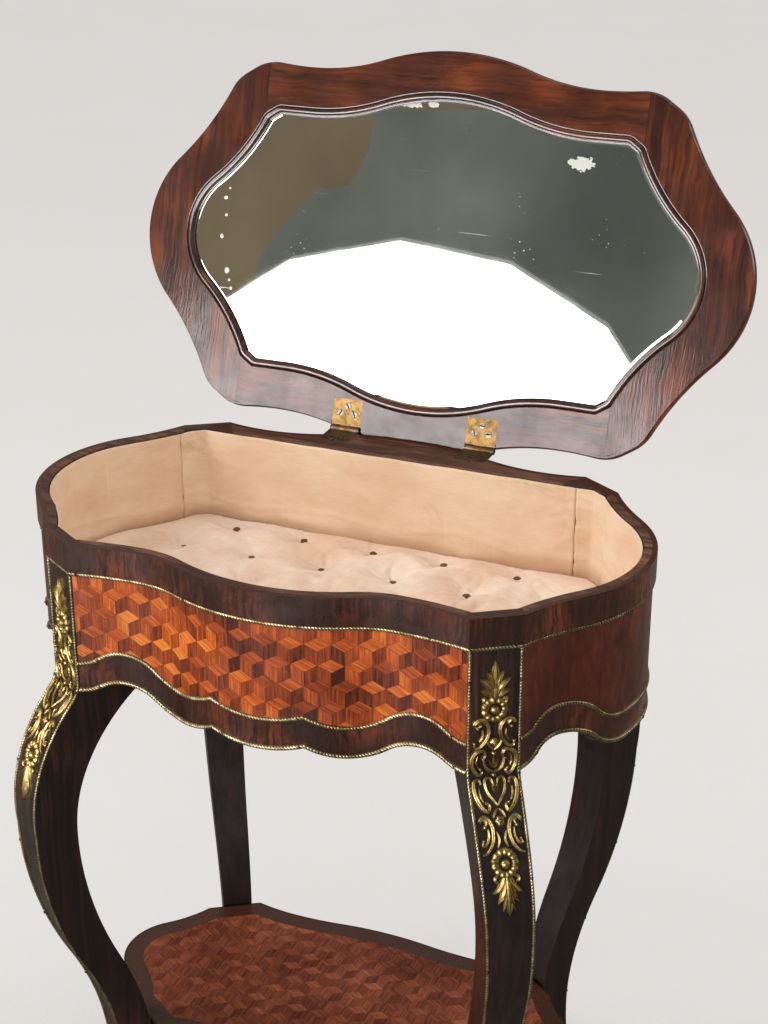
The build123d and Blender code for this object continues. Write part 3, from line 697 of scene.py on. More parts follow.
@dataclass(frozen=True)
class Polished:
    """French polished wood: long fibres, darker figure, fine pores and a glossy coat, rubbed in places.

    Fibres are about a millimetre across, drawn coarser than pores really are so that they show.
    """

    name: str
    dark: str
    middle: str
    light: str
    fibre: Point = (1.6, 60.0)             # width and length of a streak, in millimetres
    stretch: tuple[float, float, float] = (1.0, 1.0, 0.0)   # 1 across the grain, 0 along it
    figure: float = 60.0                   # size of the broad figure
    gloss: float = 0.28
    coat: float = 0.5
    lid_plane: bool = False
    streaks: float = 1.0
    dulled: float = 0.25
    relief: float = 0.12
    haze: float = 0.4                      # specular level of the wood under the coat
    coat_ior: float = 1.5
    upward: str = ""                       # painted highlight: a lighter colour painted on the edges that look up, as if lit from above; empty for none

    def make(self) -> Material:
        """Builds the material."""
        material, tree, shader = fresh(self.name)
        place = self.laid(tree)
        colour, pores = self.colour(tree, place)
        smudge = noise(tree, place, 28.0, 7.0, 0.65)
        rough = ranged(tree, smudge, 0.3, 0.75, self.gloss, self.gloss + self.dulled)
        bump = add(tree, "Bump", {"Strength": self.relief, "Distance": 0.0004, "Height": pores})
        worn = ranged(tree, smudge, 0.36, 0.62, self.coat, self.coat * 0.6)
        wire(tree, shader, {"Base Color": colour, "Roughness": rough, "Normal": bump})
        wire(tree, shader, {"Coat Weight": worn, "Coat Normal": bump, "Coat Roughness": 0.08})
        wire(tree, shader, {"Coat IOR": self.coat_ior, "Specular IOR Level": self.haze})
        return material

    def laid(self, tree: Tree) -> Node:
        """Coordinates that the grain follows."""
        return coordinates(tree, Place.OBJECT, self.lid_plane)

    def colour(self, tree: Tree, place: Node) -> tuple[Node, Node]:
        """Nodes for the wood's colour, with any painted highlight on faces that look up, and its pores."""
        across, along = 1000 / self.fibre[0], 1000 / self.fibre[1]
        wander = noise(tree, place, 1000 / self.figure, 2.0)
        bent = mixed(tree, 0.012, place, wander.outputs["Color"], "ADD")
        scale = tuple(along + (across - along) * share for share in self.stretch)
        fibres = vectors(tree, "MULTIPLY", bent, tuple(s * 0.35 for s in scale))
        streak = noise(tree, fibres, 1.0, 6.0, 0.65)
        fine = vectors(tree, "MULTIPLY", bent, tuple(s * 1.6 for s in scale))
        pores = noise(tree, fine, 1.0, 3.0)
        broad = noise(tree, bent, 1000 / self.figure / 1.7, 3.0)
        first = eased(tree, streak, 0.35, 0.68, 0.0, self.streaks)
        second = eased(tree, broad, 0.42, 0.68)
        base = mixed(tree, first, self.dark, self.middle)
        lifted = maths(tree, "MULTIPLY", first, second)
        warm = mixed(tree, lifted, base, self.light)
        # painted highlight: faces whose normal looks up are mixed towards a lighter colour, as if lit from
        # above
        if self.upward:
            facing = parted(tree, add(tree, "NewGeometry").outputs["Normal"]).outputs["Z"]
            up = ranged(tree, facing, 0.8, 0.95, 0.0, 0.85)
            warm = mixed(tree, up, warm, self.upward)
        shade = ranged(tree, pores, 0.3, 0.6, 0.72, 1.05)
        return mixed(tree, 1.0, warm, shade, "MULTIPLY"), pores


@dataclass(frozen=True)
class JointedFrame(Polished):
    """Frame of separate boards: the grain runs along the long rails and turns upright in the side pieces."""

    joint_at: float = 203.0
    joint_width: float = 0.9

    def laid(self, tree: Tree) -> Node:
        """Coordinates with the first two axes swapped past the joints."""
        place = coordinates(tree, Place.OBJECT, self.lid_plane)
        parts = parted(tree, place)
        turned = add(tree, "CombineXYZ", {0: parts.outputs[1], 1: parts.outputs[0], 2: parts.outputs[2]})
        beyond = maths(tree, "GREATER_THAN", self.away(tree, place), 0.0)
        return mixed(tree, beyond, place, turned)

    def away(self, tree: Tree, place: Node) -> Node:
        """Distance past the joint, in metres."""
        parts = parted(tree, place)
        off = maths(tree, "ABSOLUTE", parts.outputs[0])
        return maths(tree, "SUBTRACT", off, self.joint_at * MM)

    def colour(self, tree: Tree, place: Node) -> tuple[Node, Node]:
        """The wood's colour with a dark line along each joint."""
        colour, pores = super().colour(tree, place)
        away = self.away(tree, coordinates(tree, Place.OBJECT, self.lid_plane))
        near = maths(tree, "ABSOLUTE", away)
        line = ranged(tree, near, 0.0, self.joint_width * MM, 0.8, 0.0)
        return mixed(tree, line, colour, "#120806"), pores


@dataclass(frozen=True)
class CubeParquetry:
    """Tumbling block marquetry: rhombs of kingwood and tulipwood whose grain and tone turn from face to face.

    A point's nearest hexagon comes from two rectangular lattices; its angle in the hexagon names one of
    three rhombs.
    """

    name: str
    tones: tuple[str, str, str, str]       # darkest to lightest
    width: float = 24.0                    # hexagon across its flats, in millimetres
    place: Place = Place.OBJECT
    lid_plane: bool = False
    contrast: float = 0.85
    gloss: float = 0.24
    coat: float = 0.2
    haze: float = 0.32                     # specular level of the wood under the coat
    joint: float = 0.3                     # width of the dark glue line, in millimetres

    def make(self) -> Material:
        """Builds the material."""
        material, tree, shader = fresh(self.name)
        source = coordinates(tree, self.place, self.lid_plane, 1000 / self.width)
        flat = vectors(tree, "MULTIPLY", source, (1, 1, 0))
        wobble = noise(tree, flat, 0.5, 1.0)
        flat = mixed(tree, 0.05, flat, wobble.outputs["Color"], "ADD")
        flat = vectors(tree, "MULTIPLY", flat, (1, 1, 0))
        tall = math.sqrt(3) / 2
        cells = []
        for offset in ((0.0, 0.0, 0.0), (0.5, tall, 0.0)):
            moved = vectors(tree, "SUBTRACT", flat, offset)
            cell = vectors(tree, "WRAP", moved, (0.5, tall, 1), (-0.5, -tall, -1))
            cells.append((cell, vectors(tree, "DOT_PRODUCT", cell, cell).outputs["Value"]))
        nearer = maths(tree, "LESS_THAN", cells[0][1], cells[1][1])
        local = mixed(tree, nearer, cells[1][0], cells[0][0])
        number = vectors(tree, "SUBTRACT", flat, local)
        parts = parted(tree, local)
        angle = maths(tree, "ARCTAN2", parts.outputs[1], parts.outputs[0])
        turned = maths(tree, "ADD", angle, math.pi / 2)
        thirds = maths(tree, "FLOOR", maths(tree, "DIVIDE", turned, THIRD))
        face = maths(tree, "FLOORED_MODULO", thirds, 3.0)
        middle = maths(tree, "MULTIPLY_ADD", face, THIRD, -math.pi / 6)
        back = maths(tree, "MULTIPLY", middle, -1.0)
        rhomb = add(tree, "VectorRotate", {"Vector": local, "Angle": back}, rotation_type="Z_AXIS")
        joint = self.joint_line(tree, rhomb)
        lifted = add(tree, "CombineXYZ", {0: 0.5, 1: 0.5, 2: maths(tree, "ADD", face, 0.5)})
        key = vectors(tree, "MULTIPLY_ADD", number, (2, 1 / tall, 0), lifted)
        whole = vectors(tree, "FLOOR", key)
        chance = add(tree, "TexWhiteNoise", {"Vector": whole}, noise_dimensions="3D")
        fibres = self.fibres(tree, rhomb, face, chance)
        tone = self.tone(tree, flat, face, chance, fibres)
        colour = self.ramp(tree, tone)
        dark = mixed(tree, joint, colour, "#1b0c05")
        smudge = noise(tree, source, 0.6, 5.0)
        rough = ranged(tree, smudge, 0.3, 0.75, self.gloss, self.gloss + 0.2)
        bump = add(tree, "Bump", {"Strength": 0.1, "Distance": 0.0003, "Height": fibres})
        wire(tree, shader, {"Base Color": dark, "Roughness": rough, "Normal": bump})
        wire(tree, shader, {"Specular IOR Level": self.haze, "Coat Weight": self.coat, "Coat Roughness": 0.1})
        return material

    def joint_line(self, tree: Tree, rhomb: Node) -> Node:
        """One on the glue line between rhombs and zero inside them."""
        edge = 1 / math.sqrt(3)
        parts = parted(tree, rhomb)
        centred = maths(tree, "SUBTRACT", parts.outputs[0], edge / 2)
        along = maths(tree, "ABSOLUTE", centred)
        across = maths(tree, "ABSOLUTE", parts.outputs[1])
        scaled = maths(tree, "MULTIPLY", along, 2 / edge)
        inside = maths(tree, "MULTIPLY_ADD", across, 2 / (math.sqrt(3) * edge), scaled)
        width = self.joint / self.width * 4 * 1.5
        return eased(tree, inside, 1 - width, 1.0, 0.0, 0.5)

    def fibres(self, tree: Tree, rhomb: Node, face: Node, chance: Node) -> Node:
        """Straight grain along one pair of a rhomb's edges: upright on the two side faces."""
        late = maths(tree, "GREATER_THAN", face, 0.5)
        angle = maths(tree, "MULTIPLY_ADD", late, -THIRD, math.pi / 3)
        laid = add(tree, "VectorRotate", {"Vector": rhomb, "Angle": angle}, rotation_type="Z_AXIS")
        stretched = vectors(tree, "MULTIPLY", laid, (0.9, 13.0, 1.0))
        far = vectors(tree, "MULTIPLY", chance.outputs["Color"], (90, 90, 90))
        moved = vectors(tree, "ADD", stretched, far)
        return noise(tree, moved, 1.0, 4.0, 0.6)

    def tone(self, tree: Tree, flat: Node, face: Node, chance: Node, fibres: Node) -> Node:
        """How light a piece is: by its face, by chance, by its grain and by its part of the panel."""
        top = maths(tree, "COMPARE", face, 1.0, 0.2)
        left = maths(tree, "COMPARE", face, 2.0, 0.2)
        base = maths(tree, "MULTIPLY_ADD", left, 0.16 * self.contrast, 0.3)
        base = maths(tree, "MULTIPLY_ADD", top, 0.36 * self.contrast, base)
        luck = ranged(tree, chance, 0.0, 1.0, -0.26 * self.contrast, 0.26 * self.contrast)
        streak = ranged(tree, fibres, 0.32, 0.68, -0.2, 0.2)
        total = maths(tree, "ADD", base, luck)
        patch = noise(tree, flat, 0.22, 3.0)
        broad = ranged(tree, patch, 0.3, 0.7, -0.16, 0.16)
        total = maths(tree, "ADD", total, broad)
        return maths(tree, "ADD", total, streak)

    def ramp(self, tree: Tree, tone: Node) -> Node:
        """Colours from the darkest wood to the lightest."""
        ramp = add(tree, "ValToRGB", {"Fac": tone})
        stops = ramp.color_ramp.elements
        while len(stops) < len(self.tones):
            stops.new(0.5)
        for stop, (position, code) in zip(stops, zip((0.05, 0.35, 0.62, 0.9), self.tones)):
            stop.position = position
            stop.color = linear(code)
        return ramp


@dataclass(frozen=True)
class AgedMetal:
    """Cast or drawn brass and bronze: bright where it is rubbed, dark and greenish in the hollows."""

    name: str
    bright: str
    dull: str
    grime: str
    roughness: tuple[float, float] = (0.28, 0.55)
    patch: float = 9.0                     # size of the tarnished patches, in millimetres
    worn: float = 0.55                     # share that stays bright

    def make(self) -> Material:
        """Builds the material."""
        material, tree, shader = fresh(self.name)
        place = coordinates(tree, Place.OBJECT)
        patches = noise(tree, place, 1000 / self.patch, 6.0, 0.65)
        spots = noise(tree, place, 1000 / 1.4, 3.0)
        share = eased(tree, patches, self.worn - 0.12, self.worn + 0.14)
        dirt = eased(tree, spots, 0.56, 0.7)
        tarnished = mixed(tree, share, self.bright, self.dull)
        held = maths(tree, "MULTIPLY", dirt, 0.8)
        colour = mixed(tree, held, tarnished, self.grime)
        hollows = self.hollows(tree)
        if hollows is not None:
            colour = mixed(tree, hollows, colour, self.grime)
        rough = ranged(tree, patches, 0.3, 0.7, *self.roughness)
        metal = ranged(tree, dirt, 0.0, 1.0, 1.0, 0.55)
        bump = add(tree, "Bump", {"Strength": 0.25, "Distance": 0.0002, "Height": spots})
        wire(tree, shader, {"Base Color": colour, "Roughness": rough, "Metallic": metal, "Normal": bump})
        return material

    def hollows(self, tree: Tree) -> Node | None:
        """Share of grime by the piece's own pattern; none for plain metal."""
        return None


@dataclass(frozen=True)
class RopeBrass(AgedMetal):
    """Drawn brass with strands that turn round it: dirt stays in the grooves between them."""

    pitch: float = 3.0
    twist: float = 1.0

    def hollows(self, tree: Tree) -> Node:
        """The grooves of the bead's own pattern."""
        parts = parted(tree, coordinates(tree, Place.PATTERN, scale=math.pi * 1000 / self.pitch))
        turned = maths(tree, "MULTIPLY_ADD", parts.outputs[1], -self.twist, parts.outputs[0])
        strand = maths(tree, "ABSOLUTE", maths(tree, "SINE", turned))
        return eased(tree, strand, 0.15, 0.65, 0.75, 0.0)


@dataclass(frozen=True)
class ScrewSteel(AgedMetal):
    """Worn steel screws: dark dirt fills the slot and the ring round the head, by the head's own pattern."""

    slot: float = 0.55
    rim: float = 3.35

    def hollows(self, tree: Tree) -> Node:
        """The slot and the ring round the head."""
        place = coordinates(tree, Place.PATTERN, scale=1000.0)
        across = maths(tree, "ABSOLUTE", parted(tree, place))
        slot = ranged(tree, across, self.slot, self.slot + 0.15, 1.0, 0.0)
        reach = vectors(tree, "LENGTH", place).outputs["Value"]
        ring = ranged(tree, reach, self.rim, self.rim + 0.25)
        return maths(tree, "MAXIMUM", slot, ring)


@dataclass(frozen=True)
class Silk:
    """Plain woven silk, faded and stained: a fine weave, soft slubs and brownish water marks.

    The weave is 0.5 mm here, coarser than silk's, so that it shows at all.
    """

    name: str
    cloth: str
    pale: str
    stain: str
    place: Place = Place.PATTERN
    stained: float = 0.6
    sheen: float = 0.25
    foot: float = 0.0                      # how dark the lowest strip of a lining is: partly water staining, partly painted shade

    def make(self) -> Material:
        """Builds the material."""
        material, tree, shader = fresh(self.name)
        place = coordinates(tree, self.place)
        slub_at = vectors(tree, "MULTIPLY", place, (60, 1400, 60))
        slub = noise(tree, slub_at, 1.0, 3.0)
        weave = noise(tree, place, 1400.0, 2.0)
        soft = noise(tree, place, 14.0, 5.0, 0.6)
        marks = noise(tree, place, 9.0, 7.0, 0.7, distortion=1.2)
        faded = eased(tree, soft, 0.35, 0.65)
        base = mixed(tree, faded, self.cloth, self.pale)
        mark = eased(tree, marks, 0.56, 0.78, 0.0, self.stained)
        stained = mixed(tree, mark, base, self.stain)
        if self.foot:
            stained = self.pulled(tree, place, stained)
        thread = ranged(tree, slub, 0.3, 0.7, 0.93, 1.04)
        colour = mixed(tree, 1.0, stained, thread, "MULTIPLY")
        height = maths(tree, "ADD", slub, weave)
        bump = add(tree, "Bump", {"Strength": 0.25, "Distance": 0.0002, "Height": height})
        wire(tree, shader, {"Base Color": colour, "Normal": bump, "Roughness": 0.62})
        wire(tree, shader, {"Sheen Weight": self.sheen, "Sheen Roughness": 0.4})
        return material

    def pulled(self, tree: Tree, place: Node, colour: Node) -> Node:
        """Pale pulled threads that run upright here and there, and a darker strip along the foot: partly
        water staining, partly painted shade.
        """
        upright = vectors(tree, "MULTIPLY", place, (330, 7, 1))
        threads = noise(tree, upright, 1.0, 1.0)
        patches = noise(tree, place, 13.0, 1.0)
        line = ranged(tree, threads, 0.7, 0.76)
        here = ranged(tree, patches, 0.5, 0.6, 0.0, 0.5)
        shown = maths(tree, "MULTIPLY", line, here)
        colour = mixed(tree, shown, colour, "#fff3e0")
        # painted shade, with staining: the strip along the foot, just above the cushion, is mixed towards the
        # stain colour
        tall = parted(tree, place).outputs["Y"]
        ragged = maths(tree, "MULTIPLY_ADD", patches, 0.035, tall)
        low = eased(tree, ragged, 0.637, 0.652, self.foot, 0.0)
        return mixed(tree, low, colour, self.stain)


@dataclass(frozen=True)
class AntiqueMirror:
    """Old silvered glass: grey silver, foxing flecks, fine scratches and a hazy edge."""

    name: str = "antique_silvered_glass"
    silver: str = "#e4e5e0"
    flakes: tuple[tuple[float, float, float, float], ...] = (   # place, size and flatness of lost silver
        (143, -106, 14, 1.9), (-45, -149, 12, 2.6), (-20, -150, 6, 2.0), (-240, -36, 2.4, 1.0),
        (-241, 4, 2.2, 0.8), (-231, 40, 2.8, 0.7), (-224, 58, 1.8, 1.0), (-237, -46, 1.6, 1.0),
        (-238, -18, 1.5, 1.0), (-227, 50, 1.4, 1.0),
    )

    def make(self) -> Material:
        """Builds the material."""
        material, tree, shader = fresh(self.name)
        place = coordinates(tree, Place.OBJECT, lid_plane=True)
        haze = noise(tree, place, 11.0, 6.0, 0.6)
        torn = noise(tree, place, 170.0, 4.0)
        dots = add(tree, "TexVoronoi", {"Vector": place, "Scale": 190.0})
        where = noise(tree, place, 16.0, 2.0)
        size = ranged(tree, where, 0.54, 0.78, 0.0, 0.17)
        fleck = maths(tree, "LESS_THAN", dots.outputs["Distance"], size)
        long_way = vectors(tree, "MULTIPLY", place, (9, 520, 1))
        lines = noise(tree, long_way, 1.0, 1.0, distortion=0.3)
        scratch = ranged(tree, lines, 0.74, 0.78, 0.0, 0.2)
        mark = maths(tree, "MAXIMUM", fleck, scratch)
        for x, y, radius, flat in self.flakes:
            moved = vectors(tree, "SUBTRACT", place, (x * MM, y * MM, 0))
            shape = vectors(tree, "MULTIPLY", moved, (1, flat, 0))
            reach = vectors(tree, "LENGTH", shape).outputs["Value"]
            ragged = maths(tree, "MULTIPLY_ADD", torn, -1.9 * radius * MM, reach)
            inside = maths(tree, "LESS_THAN", ragged, 0.0)
            mark = maths(tree, "MAXIMUM", mark, inside)
        tint = mixed(tree, haze, "#b9bbb4", self.silver)
        colour = mixed(tree, mark, tint, "#c9c8bf")
        metal = ranged(tree, mark, 0.0, 1.0, 0.97, 0.2)
        rough = ranged(tree, haze, 0.35, 0.8, 0.006, 0.03)
        dull = maths(tree, "MULTIPLY_ADD", mark, 0.5, rough)
        wire(tree, shader, {"Base Color": colour, "Roughness": dull, "Metallic": metal})
        return material


def bare_wood(name: str, dark: str, light: str) -> Material:
    """Unpolished oak or beech of the carcass: matt, with plain straight grain."""
    return Polished(
        name, dark, light, light, gloss=0.6, coat=0.0, stretch=(0.0, 1.0, 1.0), dulled=0.15
    ).make()


class Palette:
    """All finishes of the table, made once."""

    def __init__(self) -> None:
        """Builds every material."""
        self.rosewood = Polished(
            "rosewood_french_polished", "#2c1109", "#43200f", "#83391a", fibre=(1.1, 18), figure=30,
            # 4a2c20 is a painted highlight on the faces that look up
            streaks=0.9, coat=0.7, gloss=0.2, dulled=0.2, upward="#4a2c20",
        ).make()
        self.leg = Polished(
            "rosewood_leg_french_polished", "#140a08", "#2b140d", "#5c280f", fibre=(2.2, 120), figure=110,
            # 4a2c20 is a painted highlight on the faces that look up
            gloss=0.3, upward="#4a2c20",
        ).make()
        self.lid_frame = JointedFrame(
            "mahogany_lid_frame_polished", "#3a170c", "#5e2812", "#8c441e", fibre=(3.0, 90),
            stretch=(0.0, 1.0, 1.0), figure=50, gloss=0.16, coat=1.0, lid_plane=True, dulled=0.14,
            streaks=0.95, relief=0.25, haze=0.2, coat_ior=1.47,
        ).make()
        self.moulding = JointedFrame(
            "mahogany_moulding_polished", "#2c1009", "#4c2011", "#7a3a1c", fibre=(2.4, 90),
            stretch=(0.0, 1.0, 1.0), gloss=0.2, coat=1.0, lid_plane=True, dulled=0.1, relief=0.1, haze=0.5,
            coat_ior=1.68,
        ).make()
        self.side = Polished(
            "mahogany_veneer_polished", "#40170b", "#592210", "#7a3317", fibre=(5.0, 24), figure=60,
            gloss=0.22, coat=0.6, streaks=0.7, haze=0.3,
        ).make()
        self.front_cubes = CubeParquetry(
            "cube_parquetry_front", ("#481703", "#8e3807", "#c9580c", "#f08a30"), place=Place.PATTERN
        ).make()
        self.lid_cubes = CubeParquetry(
            "cube_parquetry_lid", ("#34140a", "#6f3014", "#a4501f", "#cf7c40"), lid_plane=True
        ).make()
        self.shelf_cubes = CubeParquetry(
            "cube_parquetry_shelf", ("#4a2114", "#773a24", "#9c5434", "#c47c50"), contrast=0.36, gloss=0.42,
            coat=0.04, haze=0.16,
        ).make()
        self.gilt = AgedMetal(
            "gilt_bronze_cast", "#b8a069", "#836d3c", "#2d210e", (0.3, 0.52), worn=0.52, patch=7
        ).make()
        self.bead = RopeBrass(
            "brass_rope_bead_drawn", "#c6b992", "#857650", "#1c150c", (0.32, 0.52), worn=0.48, patch=14
        ).make()
        self.hinge = AgedMetal(
            "hinge_brass_aged", "#9d7d4e", "#735630", "#35260f", (0.42, 0.6), 10, 0.56
        ).make()
        self.patina = AgedMetal(
            "hinge_brass_patinated", "#94816a", "#66553f", "#33281b", (0.4, 0.62), 12, 0.45
        ).make()
        self.steel = ScrewSteel(
            "screw_steel_worn", "#8f8a82", "#5f5a54", "#1c1712", (0.35, 0.55), 3, 0.6
        ).make()
        self.edge_brass = AgedMetal(
            "shelf_edge_brass", "#8f7c54", "#5d4e30", "#1f180d", worn=0.42, patch=15
        ).make()
        # foot=0.5 paints a darker strip along the foot of each lining: partly staining, partly painted shade
        self.silk = Silk("lining_silk_faded", "#ebcaa8", "#f4dbbd", "#b98a62", foot=0.5).make()
        self.pad = Silk(
            "cushion_silk_faded", "#e4c3a8", "#f2dcc8", "#c09573", place=Place.OBJECT, stained=0.4
        ).make()
        self.button = Silk("button_silk_dark", "#5a2a1c", "#7a3f2b", "#2c130c", place=Place.OBJECT).make()
        self.mirror = AntiqueMirror().make()
        self.carcass = bare_wood("carcass_oak_bare", "#4a2d1b", "#7a5334")
        self.rim = Polished(
            "rim_mahogany_oiled", "#40231a", "#66402e", "#8a6048", stretch=(0.0, 1.0, 1.0), gloss=0.42,
            coat=0.15,
        ).make()


# ---------------------------------------------------------------- brass rope beads
@dataclass(frozen=True)
class RopeBead:
    """Drawn brass strip with a twisted rope pressed into it."""

    width: float = 4.0
    height: float = 2.0
    pitch: float = 3.0
    step: float = 0.5
    depth: float = 0.4
    pin_radius: float = 1.5
    pin_height: float = 1.3

    def lay(self, form: Form, path: Array, out: Array, closed: bool = False) -> None:
        """Lays the strip along a path.

        Its height is a flattened half circle times a wave that runs along the path and turns with the angle.

        Args:
            form: Form that takes the surface.
            path: Even points on the face, in space.
            out: Unit vectors that stand out from the face.
            closed: The path is a ring.
        """
        ahead = np.roll(path, -1, 0) - np.roll(path, 1, 0) if closed else np.gradient(path, axis=0)
        side = unit(np.cross(out, unit(ahead)))
        at = np.arange(len(path)) * self.step
        angle = np.linspace(0, math.pi, 8)
        top = np.stack([np.cos(angle) * self.width / 2, np.sin(angle) ** 0.7 * self.height], 1)
        base = footed(top, self.width)
        strand = np.abs(np.sin(math.pi * at[:, None] / self.pitch - angle))
        shape = np.repeat(base[None], len(path), 0)
        shape[:, 1:7, 1] *= (1 - self.depth + self.depth * strand**0.6)[:, 1:7]
        turn = np.concatenate([angle, [math.pi, 0.0]]) / math.pi * self.pitch
        pattern = np.stack(np.broadcast_arrays(at[:, None], turn), -1)
        form.tube(path, side, out, shape, closed, pattern)

    def pins(self, form: Form, path: Array, out: Array, apart: float, start: float) -> None:
        """Round heads of the pins that hold the strip, an even distance apart along its crest.

        Args:
            form: Form that takes the surfaces.
            path: Even points on the face, in space.
            out: Unit vectors that stand out from the face.
            apart: Distance between pins.
            start: Distance of the first one.
        """
        ahead = unit(np.gradient(path, axis=0))
        for place in np.arange(start, (len(path) - 1) * self.step, apart):
            spot = int(place / self.step)
            flat = Form()
            dome(flat, (0, 0), self.pin_radius, self.pin_height)
            frame_at = np.stack([ahead[spot], np.cross(out[spot], ahead[spot]), out[spot]])
            disc = (flat.points[0] + [0, 0, self.height * 0.75]) @ frame_at + path[spot]
            form.grid(disc.reshape(-1, 16, 3), wrap_columns=True)


@dataclass
class BrassBeads:
    """The rope beads of the case: round the frieze, under the panels and along the apron."""

    finish: Material
    bead: RopeBead = field(default_factory=RopeBead)
    frieze_height: float = RIM - 30.0
    frieze_pins: Point = (118.0, 40.0)     # distance apart, and of the first one
    wall_pins: Point = (76.0, 21.0)
    above: float = 2.0                     # middle of the strip above the shaped line

    def build(self) -> None:
        """Makes the three sets of beads."""
        step = self.bead.step
        ring = spaced_closed(CASE.outline(FACE_INSET), step)
        form = Form()
        path, flat = in_space(ring, self.frieze_height), unit(level(outward(ring)))
        self.bead.lay(form, path, flat, closed=True)
        self.bead.pins(form, path, flat, *self.frieze_pins)
        self.finished(form, "frieze_rope", "frieze_bead")
        for line, name, node in ((PANEL, "panel_rope", "panel_beads"), (APRON, "apron_rope", "apron_beads")):
            form = Form()
            for wall in Wall:
                self.shaped(form, wall, line)
            self.finished(form, name, node)

    def shaped(self, form: Form, wall: Wall, line: ShapedLine) -> None:
        """One wall's bead along a shaped line."""
        plan = wall_line(wall, FACE_INSET, 1.0)
        at = plan[:, 0] if wall.kind == "front" else plan[:, 1]
        path = spaced(in_space(plan, line.heights(wall.kind, at) + self.above), self.bead.step)
        ahead = np.gradient(path[:, :2], axis=0)
        out = unit(level(np.stack([ahead[:, 1], -ahead[:, 0]], 1)))
        self.bead.lay(form, path, out)
        self.bead.pins(form, path, out, *self.wall_pins)

    def finished(self, form: Form, name: str, node: str) -> None:
        """Makes the piece and lets it stand for its node."""
        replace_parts(form.build(name, Body.TABLE, self.finish, "bead_brass", sharp=None), node)


# ---------------------------------------------------------------- legs' faces
class Station(NamedTuple):
    """Where a leg's face turns: its reach outwards, height and width."""

    reach: float
    height: float
    width: float


FOOT, ANKLE, WAIST = Station(-3.0, 0.0, 28.0), Station(-23.0, 127.0, 31.0), Station(8.5, 245.0, 37.0)
KNEE, POST = Station(48.5, 411.0, 44.4), Station(0.0, 560.0, 48.2)
SPRING_HEIGHT = RIM - 143.0       # the face leaves the upright here
SPRUNG = (5.0, SPRING_HEIGHT - 20)


@dataclass(frozen=True)
class LegFace:
    """Outer face of a leg at the rear right corner: reach outwards, width and sway against height."""

    lean: float
    set_over: float

    @staticmethod
    def reach(height: Array) -> Array:
        """How far the face stands out at a height: an upright with tangent arcs below it."""
        upright = np.array([[-FACE_INSET, RIM], [-FACE_INSET, SPRING_HEIGHT]])
        shoulder, heading = arc_from(upright[1], (0, -1), SPRUNG, 1)
        knee, _ = arc_from(SPRUNG, heading, KNEE[:2], 1)
        waist, heading = arc_from(KNEE[:2], (0, -1), WAIST[:2], 1)
        ankle, heading = arc_from(WAIST[:2], heading, ANKLE[:2], 1)
        foot, _ = arc_from(ANKLE[:2], heading, FOOT[:2], 1)
        line = joined(upright, shoulder, knee, waist, ankle, foot)[::-1]
        return np.interp(height, line[:, 1], line[:, 0])

    def edge(self, height: Array, side: int) -> Array:
        """Sideways place of one edge: a smooth cubic through the widths, upright at both ends."""
        reaches, knots, widths = np.array([FOOT, ANKLE, WAIST, KNEE, POST]).T
        sway = self.lean * reaches + self.set_over * (knots < POST.height)
        values = side * widths / 2 + sway
        span = np.diff(knots)
        slope = np.diff(values) / span
        matrix = np.zeros((5, 5))
        matrix[0, 0] = matrix[4, 4] = 1
        inner = np.arange(1, 4)
        matrix[inner, inner - 1] = span[1:]
        matrix[inner, inner] = 2 * (span[1:] + span[:-1])
        matrix[inner, inner + 1] = span[:-1]
        bend = np.linalg.solve(
            matrix, np.concatenate([[0], 3 * (span[1:] * slope[:-1] + span[:-1] * slope[1:]), [0]])
        )
        low = np.clip(np.searchsorted(knots, height) - 1, 0, 3)
        share = np.clip((height - knots[low]) / span[low], 0, 1)
        start, end = values[low], values[low + 1]
        first, last = bend[low] * span[low], bend[low + 1] * span[low]
        return (
            (2 * share**3 - 3 * share**2 + 1) * start
            + (share**3 - 2 * share**2 + share) * first
            + (3 * share**2 - 2 * share**3) * end
            + (share**3 - share**2) * last
        )

    def centre(self, height: Array) -> Array:
        """Sideways place of the face's middle."""
        return (self.edge(height, 1) + self.edge(height, -1)) / 2

    def point(self, sideways: Array, height: Array, proud: Array | float = 0.0) -> Array:
        """Points on the face, or proud of it along its normal, for the rear right corner."""
        slope = self.reach(height + 0.5) - self.reach(height - 0.5)
        scale = np.asarray(proud) / np.sqrt(1 + slope**2)
        reach = self.reach(height) + scale
        plan = np.array(CASE.corner) + reach[..., None] * ACROSS + np.asarray(sideways)[..., None] * ALONG
        return in_space(plan, height - scale * slope)


FACES = {1: LegFace(0.05, -6.0), -1: LegFace(0.14, 0.0)}


def to_corner(points: Array, corner: Corner) -> Array:
    """Points of the rear right corner, mirrored to their own corner."""
    side, end = corner.value
    flipped = (points - [0, CASE_Y, 0]) * [side, end, 1]
    return flipped + [0, CASE_Y, 0]


